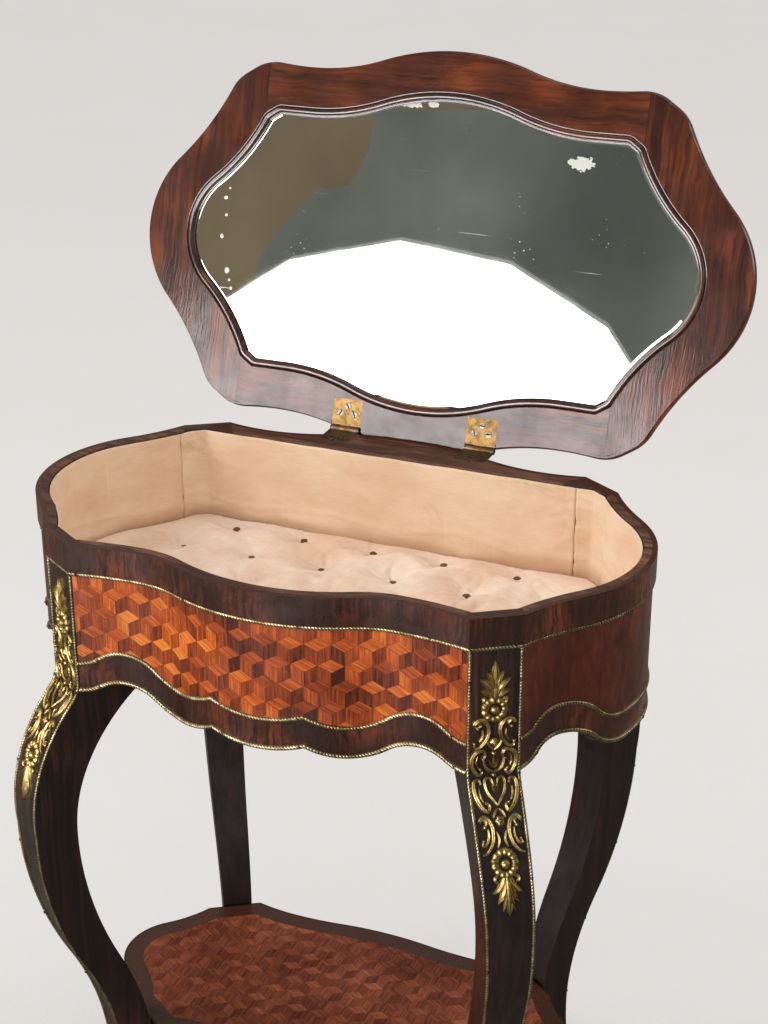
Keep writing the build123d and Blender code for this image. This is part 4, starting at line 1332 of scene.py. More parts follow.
@dataclass
class Legs:
    """Rope beads on the edges of the canted faces, narrower than those of the case."""

    finish: Material
    bead: RopeBead = field(default_factory=lambda: RopeBead(width=2.9, height=1.7))
    top: float = 682.8
    bottom: float = 44.0
    rows: int = 900                        # heights that the edge is read at
    pins: Point = (92.0, 30.0)             # distance apart, and of the first one

    def build(self) -> None:
        """Makes two strips for each leg."""
        for corner in Corner:
            face = FACES[corner.value[1]]
            form = Form()
            for side in (-1, 1):
                height = np.linspace(self.top, self.bottom, self.rows)
                sideways = face.edge(height, side) - side * self.bead.width / 2
                path = spaced(face.point(sideways, height), self.bead.step)
                tall = path[:, 2]
                over = np.interp(tall, height[::-1], sideways[::-1])
                out = unit(face.point(over, tall, 1.0) - face.point(over, tall))
                placed = to_corner(path, corner)
                outwards = unit(to_corner(path + out, corner) - placed)
                self.bead.lay(form, placed, outwards)
                self.bead.pins(form, placed, outwards, *self.pins)
            piece = form.build(f"leg_rope_{corner.label}", Body.TABLE, self.finish, "bead_brass", sharp=None)
            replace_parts(piece, f"leg_beads_{corner.label}")


# ---------------------------------------------------------------- gilt corner mounts
def raised(form: Form, line: Array, profile: Array) -> None:
    """Adds a relief in the flat frame: a profile for each point, carried along a line."""
    ahead = unit(np.gradient(line, axis=0))
    across = level(np.stack([-ahead[:, 1], ahead[:, 0]], 1))
    form.tube(level(line), across, np.tile([0.0, 0.0, 1.0], (len(line), 1)), profile)


@dataclass(frozen=True)
class Scroll:
    """A cast scroll: a smooth line through a few points, thickest in its middle, with eyes at curled ends."""

    points: tuple[Point, ...]
    width: float = 4.2
    height: float = 3.0
    taper: float = 0.45
    eyes: tuple[float, float] = (0.0, 0.0)     # radius of the eye at either end
    ridge: float = 0.25                        # groove along its crest
    mirrored: bool = True

    def surface(self, form: Form) -> None:
        """Adds the scroll, and its mirror image."""
        for side in (1, -1) if self.mirrored else (1,):
            knots = np.array(self.points) * [side, 1]
            line = smooth_line(knots, 0.7)
            share = np.linspace(0, 1, len(line))
            swell = self.taper + (1 - self.taper) * np.sin(math.pi * share) ** 0.8
            angle = np.linspace(0, math.pi, 9)
            crest = np.sin(angle) ** 0.7 * (1 - self.ridge * np.exp(-(((angle - math.pi / 2) / 0.35) ** 2)))
            top = np.stack([np.cos(angle) * self.width / 2, crest * self.height], 1)
            size = np.stack([swell, 0.6 + 0.4 * swell], 1)[:, None]
            raised(form, line, footed(top, self.width) * size)
            for end, radius in zip((0, -1), self.eyes):
                if radius:
                    dome(form, line[end], radius, self.height * 1.05)


@dataclass(frozen=True)
class Leaf:
    """A cast acanthus lobe from its base to its tip, hollowed along a rib."""

    base: Point
    tip: Point
    width: float
    height: float = 3.0
    bow: float = 0.0
    mirrored: bool = True

    def surface(self, form: Form) -> None:
        """Adds the lobe, and its mirror image."""
        for side in (1, -1) if self.mirrored else (1,):
            start, end = np.array(self.base) * [side, 1], np.array(self.tip) * [side, 1]
            share = np.linspace(0, 1, 18)
            way = end - start
            normal = np.array([-way[1], way[0]]) * side
            line = start + way * share[:, None] + normal * (self.bow * np.sin(math.pi * share))[:, None]
            swell = np.sin(math.pi * np.clip(share * 0.92 + 0.08, 0, 1) ** 0.85) ** 0.75
            swell = swell * (1 - 0.15 * share) + 0.03
            place = np.linspace(-1, 1, 9)
            rib, hollow = np.exp(-((place / 0.22) ** 2)), np.exp(-(((np.abs(place) - 0.45) / 0.2) ** 2))
            crest = (1 - place**2) ** 0.5 * 0.75 + 0.35 * rib - 0.28 * hollow
            top = np.stack([-place * self.width / 2, np.maximum(crest, 0.05) * self.height], 1)
            lift = 0.55 + 0.45 * np.sin(math.pi * share * 0.9)
            raised(form, line, footed(top, self.width) * np.stack([swell, lift], 1)[:, None])


def smooth_line(knots: Array, step: float) -> Array:
    """Even points on a Catmull-Rom curve through the knots."""
    padded = np.concatenate([2 * knots[:1] - knots[1:2], knots, 2 * knots[-1:] - knots[-2:-1]])
    share = np.linspace(0, 1, 16, endpoint=False)[:, None]
    p0, p1, p2, p3 = (padded[i : len(padded) - 3 + i, None] for i in range(4))
    square, cube = 2 * p0 - 5 * p1 + 4 * p2 - p3, 3 * p1 - p0 - 3 * p2 + p3
    curve = 0.5 * (2 * p1 + (p2 - p0) * share + square * share**2 + cube * share**3)
    return spaced(np.concatenate([curve.reshape(-1, 2), knots[-1:]]), step)


def dome(
    form: Form, centre: Array | Point, radius: float, height: float, flutes: int = 0, dip: float = 0.0
) -> None:
    """Adds a round boss in the flat frame: a quarter circle turned about its middle.

    Args:
        form: Form that takes the surface.
        centre: Middle, sideways and down.
        radius: Radius of its foot.
        height: Height above the ground.
        flutes: Number of petals round it.
        dip: How deep the petals are, as a share of the radius.
    """
    rise = np.linspace(0, math.pi / 2, 6)
    turn = np.linspace(0, 2 * math.pi, max(16, 4 * flutes), endpoint=False)
    petals = 1 - dip * (0.5 + 0.5 * np.cos(flutes * turn)) if flutes else np.ones_like(turn)
    reach = np.concatenate([np.cos(rise) * radius, [0.0]])
    tall = np.concatenate([np.sin(rise) * height, [height]])
    reach, tall = np.concatenate([[0.0, radius], reach]), np.concatenate([[-SUNK, -SUNK], tall])
    grid = np.stack(
        [
            centre[0] + reach[:, None] * np.cos(turn) * petals,
            centre[1] + reach[:, None] * np.sin(turn) * petals,
            np.broadcast_to(tall[:, None], (len(tall), len(turn))),
        ],
        -1,
    )
    form.grid(grid, wrap_columns=True)


def cartouche(
    form: Form, centre: Point, radius: float, inner: float, flutes: int, height: float, tall: float = 1.0
) -> None:
    """Adds a fluted ring: a half circle carried round a circle, its height and reach waved into shells."""
    turn = np.linspace(0, 2 * math.pi, flutes * 8, endpoint=False)
    wave = 0.5 + 0.5 * np.cos(flutes * turn)
    middle, half = (radius + inner) / 2, (radius - inner) / 2
    ring = np.stack([np.cos(turn), np.sin(turn) * tall], 1)
    angle = np.linspace(0, math.pi, 9)
    top = np.stack([np.cos(angle) * half, np.sin(angle) * height], 1)
    shape = np.repeat(footed(top, 2 * half)[None], len(turn), 0)
    shape[:, :5, 0] *= (1 + 0.22 * wave)[:, None]
    shape[:, 1:8, 1] *= (0.68 + 0.32 * wave)[:, None]
    up = np.tile([0.0, 0.0, 1.0], (len(turn), 1))
    form.tube(level(ring * middle + centre), level(ring), up, shape, closed=True)


@dataclass
class CornerMounts:
    """Openwork rococo mounts: leaves, two fluted cartouches and pairs of scrolls, cast and gilt.

    They are drawn flat, sideways and down from the top, and laid on the leg's bowed face.
    """

    finish: Material
    top: float = RIM - 43.0

    def pattern(self) -> Form:
        """The relief in the flat frame."""
        form = Form()
        leaves = [
            Leaf((0, 26), (0, -0.5), 9.5, 3.4, mirrored=False),
            Leaf((1.5, 28), (7.5, 8.5), 7.6, 3.0, -0.08),
            Leaf((2, 31), (14.8, 15.5), 7.6, 2.9, -0.12),
            Leaf((3, 34), (13.5, 27.5), 6.4, 2.6, -0.1),
            Leaf((0, 36), (0, 19), 8.5, 3.6, mirrored=False),
            Leaf((2, 187), (13.8, 202), 7.4, 3.0, 0.14),
            Leaf((1.5, 190), (9.6, 211), 7.6, 3.0, 0.1),
            Leaf((0, 188), (0, 224.5), 10.5, 3.4, mirrored=False),
            Leaf((1.5, 194), (5.6, 219), 6.0, 2.8, 0.06),
            Leaf((0, 104), (0, 92.5), 3.6, 2.6, mirrored=False),
            Leaf((0.6, 104), (4.0, 96.5), 2.6, 2.4),
            Leaf((0, 123), (0, 113.5), 3.4, 2.6, mirrored=False),
            Leaf((0.6, 123), (3.8, 116.5), 2.4, 2.4),
        ]
        scrolls = [
            Scroll(((6.5, 36), (9.5, 35), (10, 38), (8, 40.5)), 3.0, 2.6),
            Scroll(
                ((15, 63.5), (12.2, 60.5), (15.5, 56.2), (18.2, 59.5), (13.5, 55.6), (7.5, 58.5), (4.9, 66),
                 (7.0, 75), (12.5, 82), (17.2, 82.5), (17.5, 78.3)),
                4.0, 3.2, eyes=(1.9, 1.7),
            ),
            Scroll(((13.2, 77), (10.3, 72.0), (10.4, 66.0)), 2.4, 2.2),
            Scroll(((0.2, 85.5), (3.6, 82.5), (6.2, 77.5), (5.6, 73.5)), 2.8, 2.6),
            Scroll(
                ((9.5, 94.5), (7.6, 90.5), (9.5, 86.5), (14.5, 86.6), (18.9, 91.5), (19.6, 98.5),
                 (17.5, 105.5), (13.6, 109.8), (10.4, 107.3), (12.2, 104.2)),
                4.2, 3.3, eyes=(1.7, 1.6),
            ),
            Scroll(((14.5, 91), (15.8, 97), (14.2, 103)), 2.2, 2.2),
            Scroll(((9.2, 93.5), (8.2, 100.5), (5.2, 105.5), (0.1, 107.6)), 3.0, 2.8, taper=0.7),
            Scroll(
                ((12.6, 116.8), (14.6, 113.6), (18.3, 115.4), (19.2, 121), (17.3, 128), (13.0, 134.2),
                 (8.7, 136.2), (7.3, 132.4), (10.0, 130.6)),
                4.2, 3.3, eyes=(1.6, 1.6),
            ),
            Scroll(((14.8, 120), (14.4, 125.5), (11.8, 130)), 2.2, 2.2),
            Scroll(
                ((1.6, 118.6), (3.2, 113.8), (6.8, 112.6), (9.0, 116.2), (7.8, 122.6), (3.6, 128.2),
                 (0.1, 132.2)),
                2.9, 2.8, taper=0.65, eyes=(1.4, 0),
            ),
            Scroll(((0.2, 134.5), (3.4, 137.2), (5.4, 141.0)), 2.6, 2.6),
            Scroll(
                ((14.2, 147.3), (12.4, 144.2), (15.4, 141.2), (18.6, 143.4), (14.2, 140.2), (9.0, 144.0),
                 (7.1, 151.5), (9.2, 160.5), (14.0, 166.6), (18.2, 168.2)),
                4.0, 3.2, eyes=(1.8, 0.9),
            ),
            Scroll(
                ((11.6, 148.5), (11.4, 154.5), (14.2, 160.2), (17.6, 160.8), (16.4, 157.4)), 2.8, 2.6,
                eyes=(0, 1.3),
            ),
            Scroll(((4.6, 150.5), (2.6, 157), (4.6, 163.5)), 2.6, 2.6),
            Scroll(((7.0, 187.0), (10.2, 187.6), (10.4, 190.8), (7.8, 192.0)), 3.0, 2.6),
        ]
        for piece in (*leaves, *scrolls):
            piece.surface(form)
        cartouche(form, (0, 46.5), 11.6, 5.6, 11, 3.2, 1.05)
        dome(form, (0, 46.5), 4.3, 4.6)
        cartouche(form, (0, 176.5), 11.8, 5.8, 13, 3.2, 1.08)
        dome(form, (0, 177), 4.3, 4.6)
        for drop in (78.5, 143.5):
            dome(form, (0, drop), 4.7, 3.2, flutes=5, dip=0.22)
            dome(form, (0, drop), 1.9, 4.2)
        for drop in (89.5, 110.5):
            dome(form, (0, drop), 2.4, 3.0)
        return form

    def build(self) -> None:
        """Lays the pattern on each of the four legs."""
        flat = self.pattern()
        for corner in Corner:
            face = FACES[corner.value[1]]
            form = Form()
            form.faces, form.patterns, form.total = flat.faces, flat.patterns, flat.total
            for points in flat.points:
                height = self.top - points[:, 1]
                sideways = points[:, 0] + face.centre(height)
                form.points.append(to_corner(face.point(sideways, height, points[:, 2]), corner))
            piece = form.build(f"gilt_mount_{corner.label}", Body.TABLE, self.finish, "gilt_bronze", sharp=50)
            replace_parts(piece, f"mount_{corner.label}")


# ---------------------------------------------------------------- case
@dataclass
class Case:
    """Panels, frieze and rim of the case."""

    palette: Palette
    panel_top: float = RIM - 28.0
    thickness: float = 2.4
    rows: int = 14

    def build(self) -> None:
        """Makes the parquetry panels and dresses the carcass."""
        for wall, name in ((Wall.FRONT, "front"), (Wall.REAR, "rear")):
            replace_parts(self.panel(wall, f"{name}_cube_panel"), f"{name}_marquetry")
        dress(self.palette.side, "left_veneer", "right_veneer")
        dress(self.palette.rosewood, "apron_bands", "frieze_band")
        dress(self.palette.rim, "front_wall", "rear_wall", "left_wall", "right_wall")
        dress(self.palette.carcass, "case_floor", "floor_cleats")
        dress(self.palette.leg, *(f"leg_{corner.label}" for corner in Corner))
        dress(self.palette.gilt, *(f"sabot_{corner.label}" for corner in Corner))

    def panel(self, wall: Wall, name: str) -> Piece:
        """One parquetry panel: the wall's line carried up from the shaped line, its pattern by length."""
        plan = wall_line(wall, FACE_INSET, 3.0)
        low = PANEL.heights(wall.kind, plan[:, 0]) + 0.5
        share = np.linspace(0, 1, self.rows)[:, None]
        height = low + (self.panel_top - low) * share
        outer = in_space(np.broadcast_to(plan, (self.rows, *plan.shape)), height)
        ahead = unit(np.gradient(plan, axis=0))
        inner = outer + level(np.stack([-ahead[:, 1], ahead[:, 0]], 1)) * self.thickness
        along = lengths(plan) - lengths(plan)[-1] / 2
        pattern = np.stack([np.broadcast_to(along, height.shape), height - 600.0], -1)
        form = Form()
        loop = np.concatenate([outer, inner[::-1]])
        form.grid(loop, wrap_rows=True, pattern=np.concatenate([pattern, pattern[::-1]]))
        for column in (0, -1):
            form.grid(np.stack([outer[:, column], inner[:, column]], 1))
        return form.build(name, Body.TABLE, self.palette.front_cubes, "cube_parquetry")


def dress(finish: Material, *nodes: str) -> None:
    """Gives CAD nodes a finish."""
    for name in nodes:
        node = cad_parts[name]
        if not node.material_slots:
            node.data.materials.append(finish)
        for place in node.material_slots:
            place.material = finish


# ---------------------------------------------------------------- compartment
@dataclass
class Linings:
    """Four silk linings, stretched round the inside of the walls with upright seams."""

    palette: Palette
    low: float = 597.4
    high: float = 712.8
    inset: float = 0.9
    thickness: float = 0.7
    rows: int = 44
    nodes: tuple[str, ...] = ("front", "right", "rear", "left")
    backing: dict[str, list[str]] = field(
        default_factory=lambda: {
            "front": ["front_wall"],
            "right": ["right_wall", "rear_wall"],
            "rear": ["rear_wall"],
            "left": ["left_wall"],
        }
    )
    seams: tuple[Point, ...] = ((291.0, -119.0), (193.0, 141.0), (-240.0, 126.0), (-291.0, -119.0))

    def build(self) -> None:
        """Cuts the cavity's line at the four seams and makes each lining."""
        outline = spaced_closed(cavity(self.inset), 0.2)
        cuts = [int(np.argmin(np.linalg.norm(outline - seam, axis=1))) for seam in self.seams]
        for seed, name in enumerate(self.nodes):
            start, count = cuts[seed - 1], (cuts[seed] - cuts[seed - 1]) % len(outline)
            self.lining(name, spaced(np.roll(outline, -start, 0)[1:count], 2.5), seed)

    def lining(self, name: str, line: Array, seed: int) -> None:
        """One sheet of silk: the wall's line carried up, pulled into shallow folds, with turned edges."""
        at = lengths(line)
        share = np.linspace(0, 1, self.rows)[:, None]
        fray = 0.1 * grain(at[:, None], 70.0, seed + 3, 5)
        height = self.low + (self.high + fray - self.low) * share
        ahead = np.gradient(line, axis=0)
        inwards = unit(np.stack([-ahead[:, 1], ahead[:, 0]], 1))
        place = np.stack([np.broadcast_to(at, height.shape), height], -1)
        pulls = grain(place * [0.35, 1.0], 46.0, seed + 11, 4) * 0.45
        edge = np.minimum(at, at[-1] - at)
        turned = 0.8 * np.exp(-(((edge - 1.6) / 1.6) ** 2))
        puckers = 0.8 * np.exp(-edge / 24.0) * np.sin(height / 4.3 + 3 * grain(place, 60.0, seed + 5, 2))
        foot = np.exp(-(share * (self.high - self.low)) / 14.0) * 0.5
        foot = foot * grain(place * [1.0, 0.2], 22.0, seed + 8)
        below_top = 1 - np.exp(-(1 - share) * (self.high - self.low) / 9.0)
        sag = height - 638.0 - 3.0 * grain(place * [1.0, 0.0], 150.0, seed + 2, 2)
        fold = 0.9 * np.exp(-((sag / 2.6) ** 2)) * (1 - np.exp(-edge / 20.0))
        depth = 0.5 + np.clip((pulls + puckers) * below_top + turned + foot + fold, -0.4, 1.6)
        plan = line + inwards * depth[..., None]
        pattern = np.stack([np.broadcast_to(at + 700.0 * seed, height.shape), height], -1)
        form = Form().grid(in_space(plan, height), pattern=pattern)
        piece = form.build(
            f"silk_lining_{name}", Body.TABLE, self.palette.silk, "lining_silk", sharp=None, outwards=False
        )
        thick = piece.modifiers.new("cloth_thickness", "SOLIDIFY")
        thick.thickness, thick.offset = self.thickness * MM, 0.0
        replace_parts(piece, f"lining_{name}")
        log.info("lining %s is cut %.0f by %.0f mm", name, at[-1], self.high - self.low)


@dataclass
class Cushion:
    """Buttoned silk pad: a crowned closed form, blown up as cloth against its buttons, which lie on top."""

    palette: Palette
    low: float = 597.4
    edge_top: float = 617.5
    crown: float = 623.0
    inset: float = 3.0
    pitch: float = 77.5
    rows: tuple[tuple[float, float, int], ...] = (   # place to the rear, sideways, number of buttons
        (-116.0, -14.0, 5), (-62.0, -8.0, 6), (-7.0, -14.0, 7), (66.0, -8.0, 6), (123.0, -14.0, 5)
    )
    edge_roll: float = 26.0
    dimple: float = 12.0                   # depth of the hollow at a button
    dimple_reach: float = 13.0
    billow: float = 3.4                    # rise of the cloth between the buttons
    billow_reach: float = 28.0
    crease_depth: float = 4.4
    voxel: float = 4.5
    frames: int = 18                       # length of the cloth's run
    furthest: float = 6.0                  # how far it may move a point
    button_radius: float = 5.0

    def buttons(self) -> Array:
        """Places of the buttons, in rows that are set over by half a pitch."""
        return np.array(
            [
                (over + (column - (count - 1) / 2) * self.pitch, back)
                for back, over, count in self.rows
                for column in range(count)
            ]
        )

    def crown_height(self, plan: Array, reach: Array) -> Array:
        """Height of the top: a rounded edge, a low crown and a hollow with soft folds at each button.

        Args:
            plan: Plan points.
            reach: Share of the way from the middle to the edge.

        Returns:
            Heights above the floor.
        """
        rise = (1 - np.clip(reach, 0, 1) ** 5) ** 0.5
        low = self.edge_top - 6
        nearest = np.min(np.linalg.norm(plan[..., None, :] - self.buttons(), axis=-1), -1)
        hollow = self.dimple * np.exp(-((nearest / self.dimple_reach) ** 1.1))
        billow = self.billow * (1 - np.exp(-((nearest / self.billow_reach) ** 2)))
        return low + (self.crown - low) * rise - hollow + billow + 0.6 * grain(plan, 42.0, 21) * rise

    def creases(self, plan: Array) -> Array:
        """Depth of the creases that run out from each button, and of long soft wrinkles between them.

        Each crease is a narrow bell of the angle round its button, which fades with distance.
        """
        away = plan[..., None, :] - self.buttons()
        distance = np.linalg.norm(away, axis=-1)
        phase = np.arange(away.shape[-2]) * 1.7
        angle = np.arctan2(away[..., 1], away[..., 0]) + 0.25 * np.sin(distance / 9.0 + phase)
        wide = np.exp(-((np.sin(2.5 * angle + phase) / 0.28) ** 2))
        narrow = np.exp(-((np.sin(2 * angle - phase) / 0.2) ** 2))
        fade = np.exp(-distance / 22.0) * np.minimum(distance / 8.0, 1)
        creased = ((wide + 0.6 * narrow) * fade).sum(-1)
        return self.crease_depth * creased + 0.35 * grain(plan * [1.0, 0.45], 24.0, 33)

    def build(self) -> None:
        """Makes the pad, blows it up and sets the buttons."""
        outline = spaced_closed(cavity(self.inset), 4.5)
        reach = np.linspace(0, 1, 46)[:, None] ** 0.8
        plan = outline * reach[..., None]
        grow = np.broadcast_to(reach, plan.shape[:2])
        top = in_space(plan, self.crown_height(plan, grow))
        bottom = in_space(plan, self.low + 3.0 * grow**16)
        form = Form().grid(top, wrap_columns=True).grid(bottom[::-1], wrap_columns=True)
        form.grid(np.stack([top[-1], top[-1] * [1, 1, 0] + bottom[-1] * [0, 0, 1]]), wrap_columns=True)
        pad = form.build("buttoned_cushion", Body.TABLE, self.palette.pad, "cushion_cloth", sharp=None)
        self.remesh(pad)
        self.blow_up(pad)
        self.crease(pad)
        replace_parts(pad, "cushion")
        self.set_buttons(pad)

    def remesh(self, pad: Piece) -> None:
        """Even faces all over the pad."""
        even = pad.modifiers.new("even_faces", "REMESH")
        even.mode, even.voxel_size = "VOXEL", self.voxel * MM
        apply_modifiers(pad)
        pad.data.shade_smooth()

    def crease(self, pad: Piece) -> None:
        """Divides the pad's faces once and presses the creases into its top."""
        finer = pad.modifiers.new("finer_faces", "SUBSURF")
        finer.levels = finer.render_levels = 1
        apply_modifiers(pad)
        points = read_points(pad)
        top = points[:, 2] > self.low + 8
        plan = points[top, :2] - [0, CASE_Y]
        border = spaced_closed(cavity(self.inset), 3.0)
        away = np.array([np.min(np.linalg.norm(border - point, axis=1)) for point in plan])
        calm = np.clip((self.edge_roll - away) / (self.edge_roll - 5.0), 0, 1) ** 1.5
        edge = self.crown - 1.0 - 7.0 * np.exp(-away / 2.5)
        points[top, 2] += (edge - points[top, 2]) * calm * 0.85
        points[top, 2] -= self.creases(plan) * (1 - 0.7 * calm)
        write_points(pad, points)

    def blow_up(self, pad: Piece) -> None:
        """Cloth with pressure inside, held at the buttons and along the bottom; its points move a little."""
        start = read_points(pad)
        plan = start[:, :2] - [0, CASE_Y]
        nearest = np.min(np.linalg.norm(plan[:, None] - self.buttons(), axis=-1), 1)
        held = (start[:, 2] < self.low + 7) | (nearest < self.button_radius)
        group = pad.vertex_groups.new(name="held")
        group.add(np.flatnonzero(held).tolist(), 1.0, "REPLACE")
        cloth = pad.modifiers.new("cloth", "CLOTH")
        settings = cloth.settings
        settings.use_pressure, settings.uniform_pressure_force = True, 1.3
        settings.vertex_group_mass = "held"
        settings.effector_weights.gravity = 0
        settings.quality, settings.mass = 4, 0.25
        settings.shrink_min = -0.015
        settings.bending_stiffness = 0.12
        cloth.collision_settings.use_collision = False
        scene = bpy.context.scene
        for step in range(self.frames):
            scene.frame_set(step + 1)
        apply_modifiers(pad)
        scene.frame_set(1)
        moved = read_points(pad) - start
        length = np.linalg.norm(moved, axis=1, keepdims=True)
        end = start + moved * np.minimum(1, self.furthest / np.maximum(length, 1e-9))
        calmer = start[:, :2] + 0.3 * (end[:, :2] - start[:, :2])
        end[:, :2] = np.where(start[:, 2:] < self.low + 22, calmer, end[:, :2])
        write_points(pad, end)
        log.info("cushion moved %.1f mm at most", float(length.max()))

    def set_buttons(self, pad: Piece) -> None:
        """Small covered domes, each in its hollow."""
        cloud = read_points(pad)
        upper = cloud[cloud[:, 2] > self.low + 8]
        form = Form()
        for place in self.buttons():
            near = upper[np.argsort(np.linalg.norm(upper[:, :2] - place - [0, CASE_Y], axis=1))[:6]]
            flat = Form()
            dome(flat, (0, 0), self.button_radius, 2.8)
            disc = flat.points[0].reshape(-1, 16, 3)
            form.grid(disc + [place[0], place[1] + CASE_Y, near[:, 2].mean() - 1.6], wrap_columns=True)
        piece = form.build("covered_buttons", Body.TABLE, self.palette.button, "cushion_button", sharp=None)
        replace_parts(piece, "cushion_buttons")


# ---------------------------------------------------------------- lid
@dataclass
class Lid:
    """Mirror, moulding and edge of the lid, in its open place."""

    palette: Palette
    edge_width: float = 5.0
    face: float = 0.4
    top: float = 19.4
    moulding: float = 9.0
    glass_face: float = 3.65
    glass_back: float = 6.2
    bevel: float = 2.6
    corner_round: float = 14.0
    lowered: float = 1.2                   # how much lower the moulding is over the rim, to close clear
    rim_at: float = 124.0
    rim_ramp: float = 10.0
    hinge_at: float = 74.0
    hinge_half: float = 16.3

    def build(self) -> None:
        """Makes the lid's profiles and glass, and dresses the rest."""
        self.edge()
        self.mirror_frame()
        self.glass()
        dress(self.palette.lid_frame, "lid_frame")
        dress(self.palette.lid_cubes, "lid_top_marquetry")
        dress(self.palette.rosewood, "lid_top_banding")
        dress(self.palette.carcass, "lid_board", "mirror_backing")

    def ring(self, outline: Array, profile: Array) -> Form:
        """A profile, or one for each point, carried round an outline: outwards, and in depth."""
        shape = np.broadcast_to(profile, (len(outline), *profile.shape[-2:]))
        plan = outline[:, None] + outward(outline)[:, None] * shape[..., :1]
        return Form().grid(in_lid(plan, shape[..., 1]), wrap_rows=True, wrap_columns=True)

    def edge(self) -> None:
        """Edge of the lid: a rounded nose with a fillet on the mirror's side and a bead at the top."""
        angle = np.linspace(-math.pi / 2, math.pi / 2, 11)
        nose = np.stack([-3.1 + 3.0 * np.cos(angle), 9.6 + 7.4 * np.sin(angle)], 1)
        fillet = np.array(
            [[-self.edge_width, self.face], [-2.2, self.face], [-1.5, 0.9], [-1.4, 1.7], [-2.9, 2.1]]
        )
        crest = np.array(
            [[-2.9, 17.2], [-1.2, 17.9], [-1.2, 18.8], [-1.9, self.top], [-self.edge_width, self.top]]
        )
        profile = np.concatenate([fillet, nose[1:-1], crest])
        form = self.ring(LID.softened(LID_CORNER_ROUND), profile)
        piece = form.build("lid_moulded_edge", Body.LID, self.palette.lid_frame, "dark_rosewood", sharp=30)
        self.notch(piece)
        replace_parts(piece, "lid_edge")

    def notch(self, piece: Piece) -> None:
        """Cuts room for the knuckle and the leaf of both hinges out of the edge."""
        angle = np.linspace(0, 2 * math.pi, 24, endpoint=False)
        knuckle = 4.2 * np.stack([np.cos(angle), np.sin(angle)], 1)
        leaf = np.array([[-30.0, -2.0], [0.0, -2.0], [0.0, 1.9], [-30.0, 1.9]])
        for side in (-1, 1):
            middle = side * self.hinge_at
            for profile in (knuckle, leaf):
                ends = [middle - self.hinge_half, middle + self.hinge_half]
                reach = np.stack([ends, np.full(2, HINGE_Y - LID_SHIFT)], 1)
                back, up = np.stack([LID_BACK, LID_UP])[:, None].repeat(2, 1)
                form = Form().tube(in_lid(reach, AXIS_RISE), back, up, profile)
                cutter = form.build("hinge_room", Body.LID, self.palette.carcass, "carcass_wood", sharp=None)
                cut = piece.modifiers.new("hinge_room", "BOOLEAN")
                cut.object, cut.operation, cut.solver = cutter, "DIFFERENCE", "EXACT"
                apply_modifiers(piece)
                bpy.data.objects.remove(cutter)

    def mirror_frame(self) -> None:
        """Half-round moulding round the glass, with a quirk on its outer side.

        Its crown is lower along the rear, where it closes over the wide rim.
        """
        angle = np.linspace(0, math.pi, 13)
        width = self.moulding
        outline = MIRROR.softened(self.corner_round)
        arch = np.sin(angle) ** 0.8
        crown = np.stack([-1.3 - (width - 2.4) / 2 * (1 - np.cos(angle)), 2.4 - 3.4 * arch], 1)
        quirk = np.array([[0.0, 3.3], [0.0, self.face], [-0.6, self.face + 0.1], [-0.9, 2.6]])
        inner = np.array([[-width + 0.9, 2.7], [-width, 2.9], [-width, 3.3]])
        profile = np.repeat(np.concatenate([quirk, crown, inner])[None], len(outline), 0)
        over_rim = np.clip((outline[:, 1] - self.rim_at) / self.rim_ramp, 0, 1)[:, None]
        profile[:, len(quirk):-len(inner), 1] += self.lowered * arch * over_rim
        form = self.ring(outline, profile)
        piece = form.build("mirror_half_round", Body.LID, self.palette.moulding, "dark_rosewood", sharp=35)
        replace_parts(piece, "mirror_moulding")

    def glass(self) -> None:
        """Glass with a narrow bevel where it meets the moulding."""
        outline = shifted(spaced_closed(MIRROR.softened(self.corner_round), 3.0), -0.3)
        out = outward(outline)
        bevel = self.moulding - 0.6
        steps = ((0.0, self.glass_back), (0.0, 4.1), (bevel, 4.1), (bevel + self.bevel, self.glass_face))
        rings = [in_lid(outline - out * inset, depth) for inset, depth in steps]
        inner = outline - out * steps[-1][0]
        rings += [in_lid(inner * share, self.glass_face) for share in (0.8, 0.5, 0.0)]
        back = [in_lid(outline * share, self.glass_back) for share in (0.0, 0.5)]
        form = Form().grid(np.array([*back, *rings]), wrap_columns=True)
        piece = form.build("bevelled_mirror_glass", Body.LID, self.palette.mirror, "antique_mirror", sharp=2)
        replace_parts(piece, "mirror_glass")


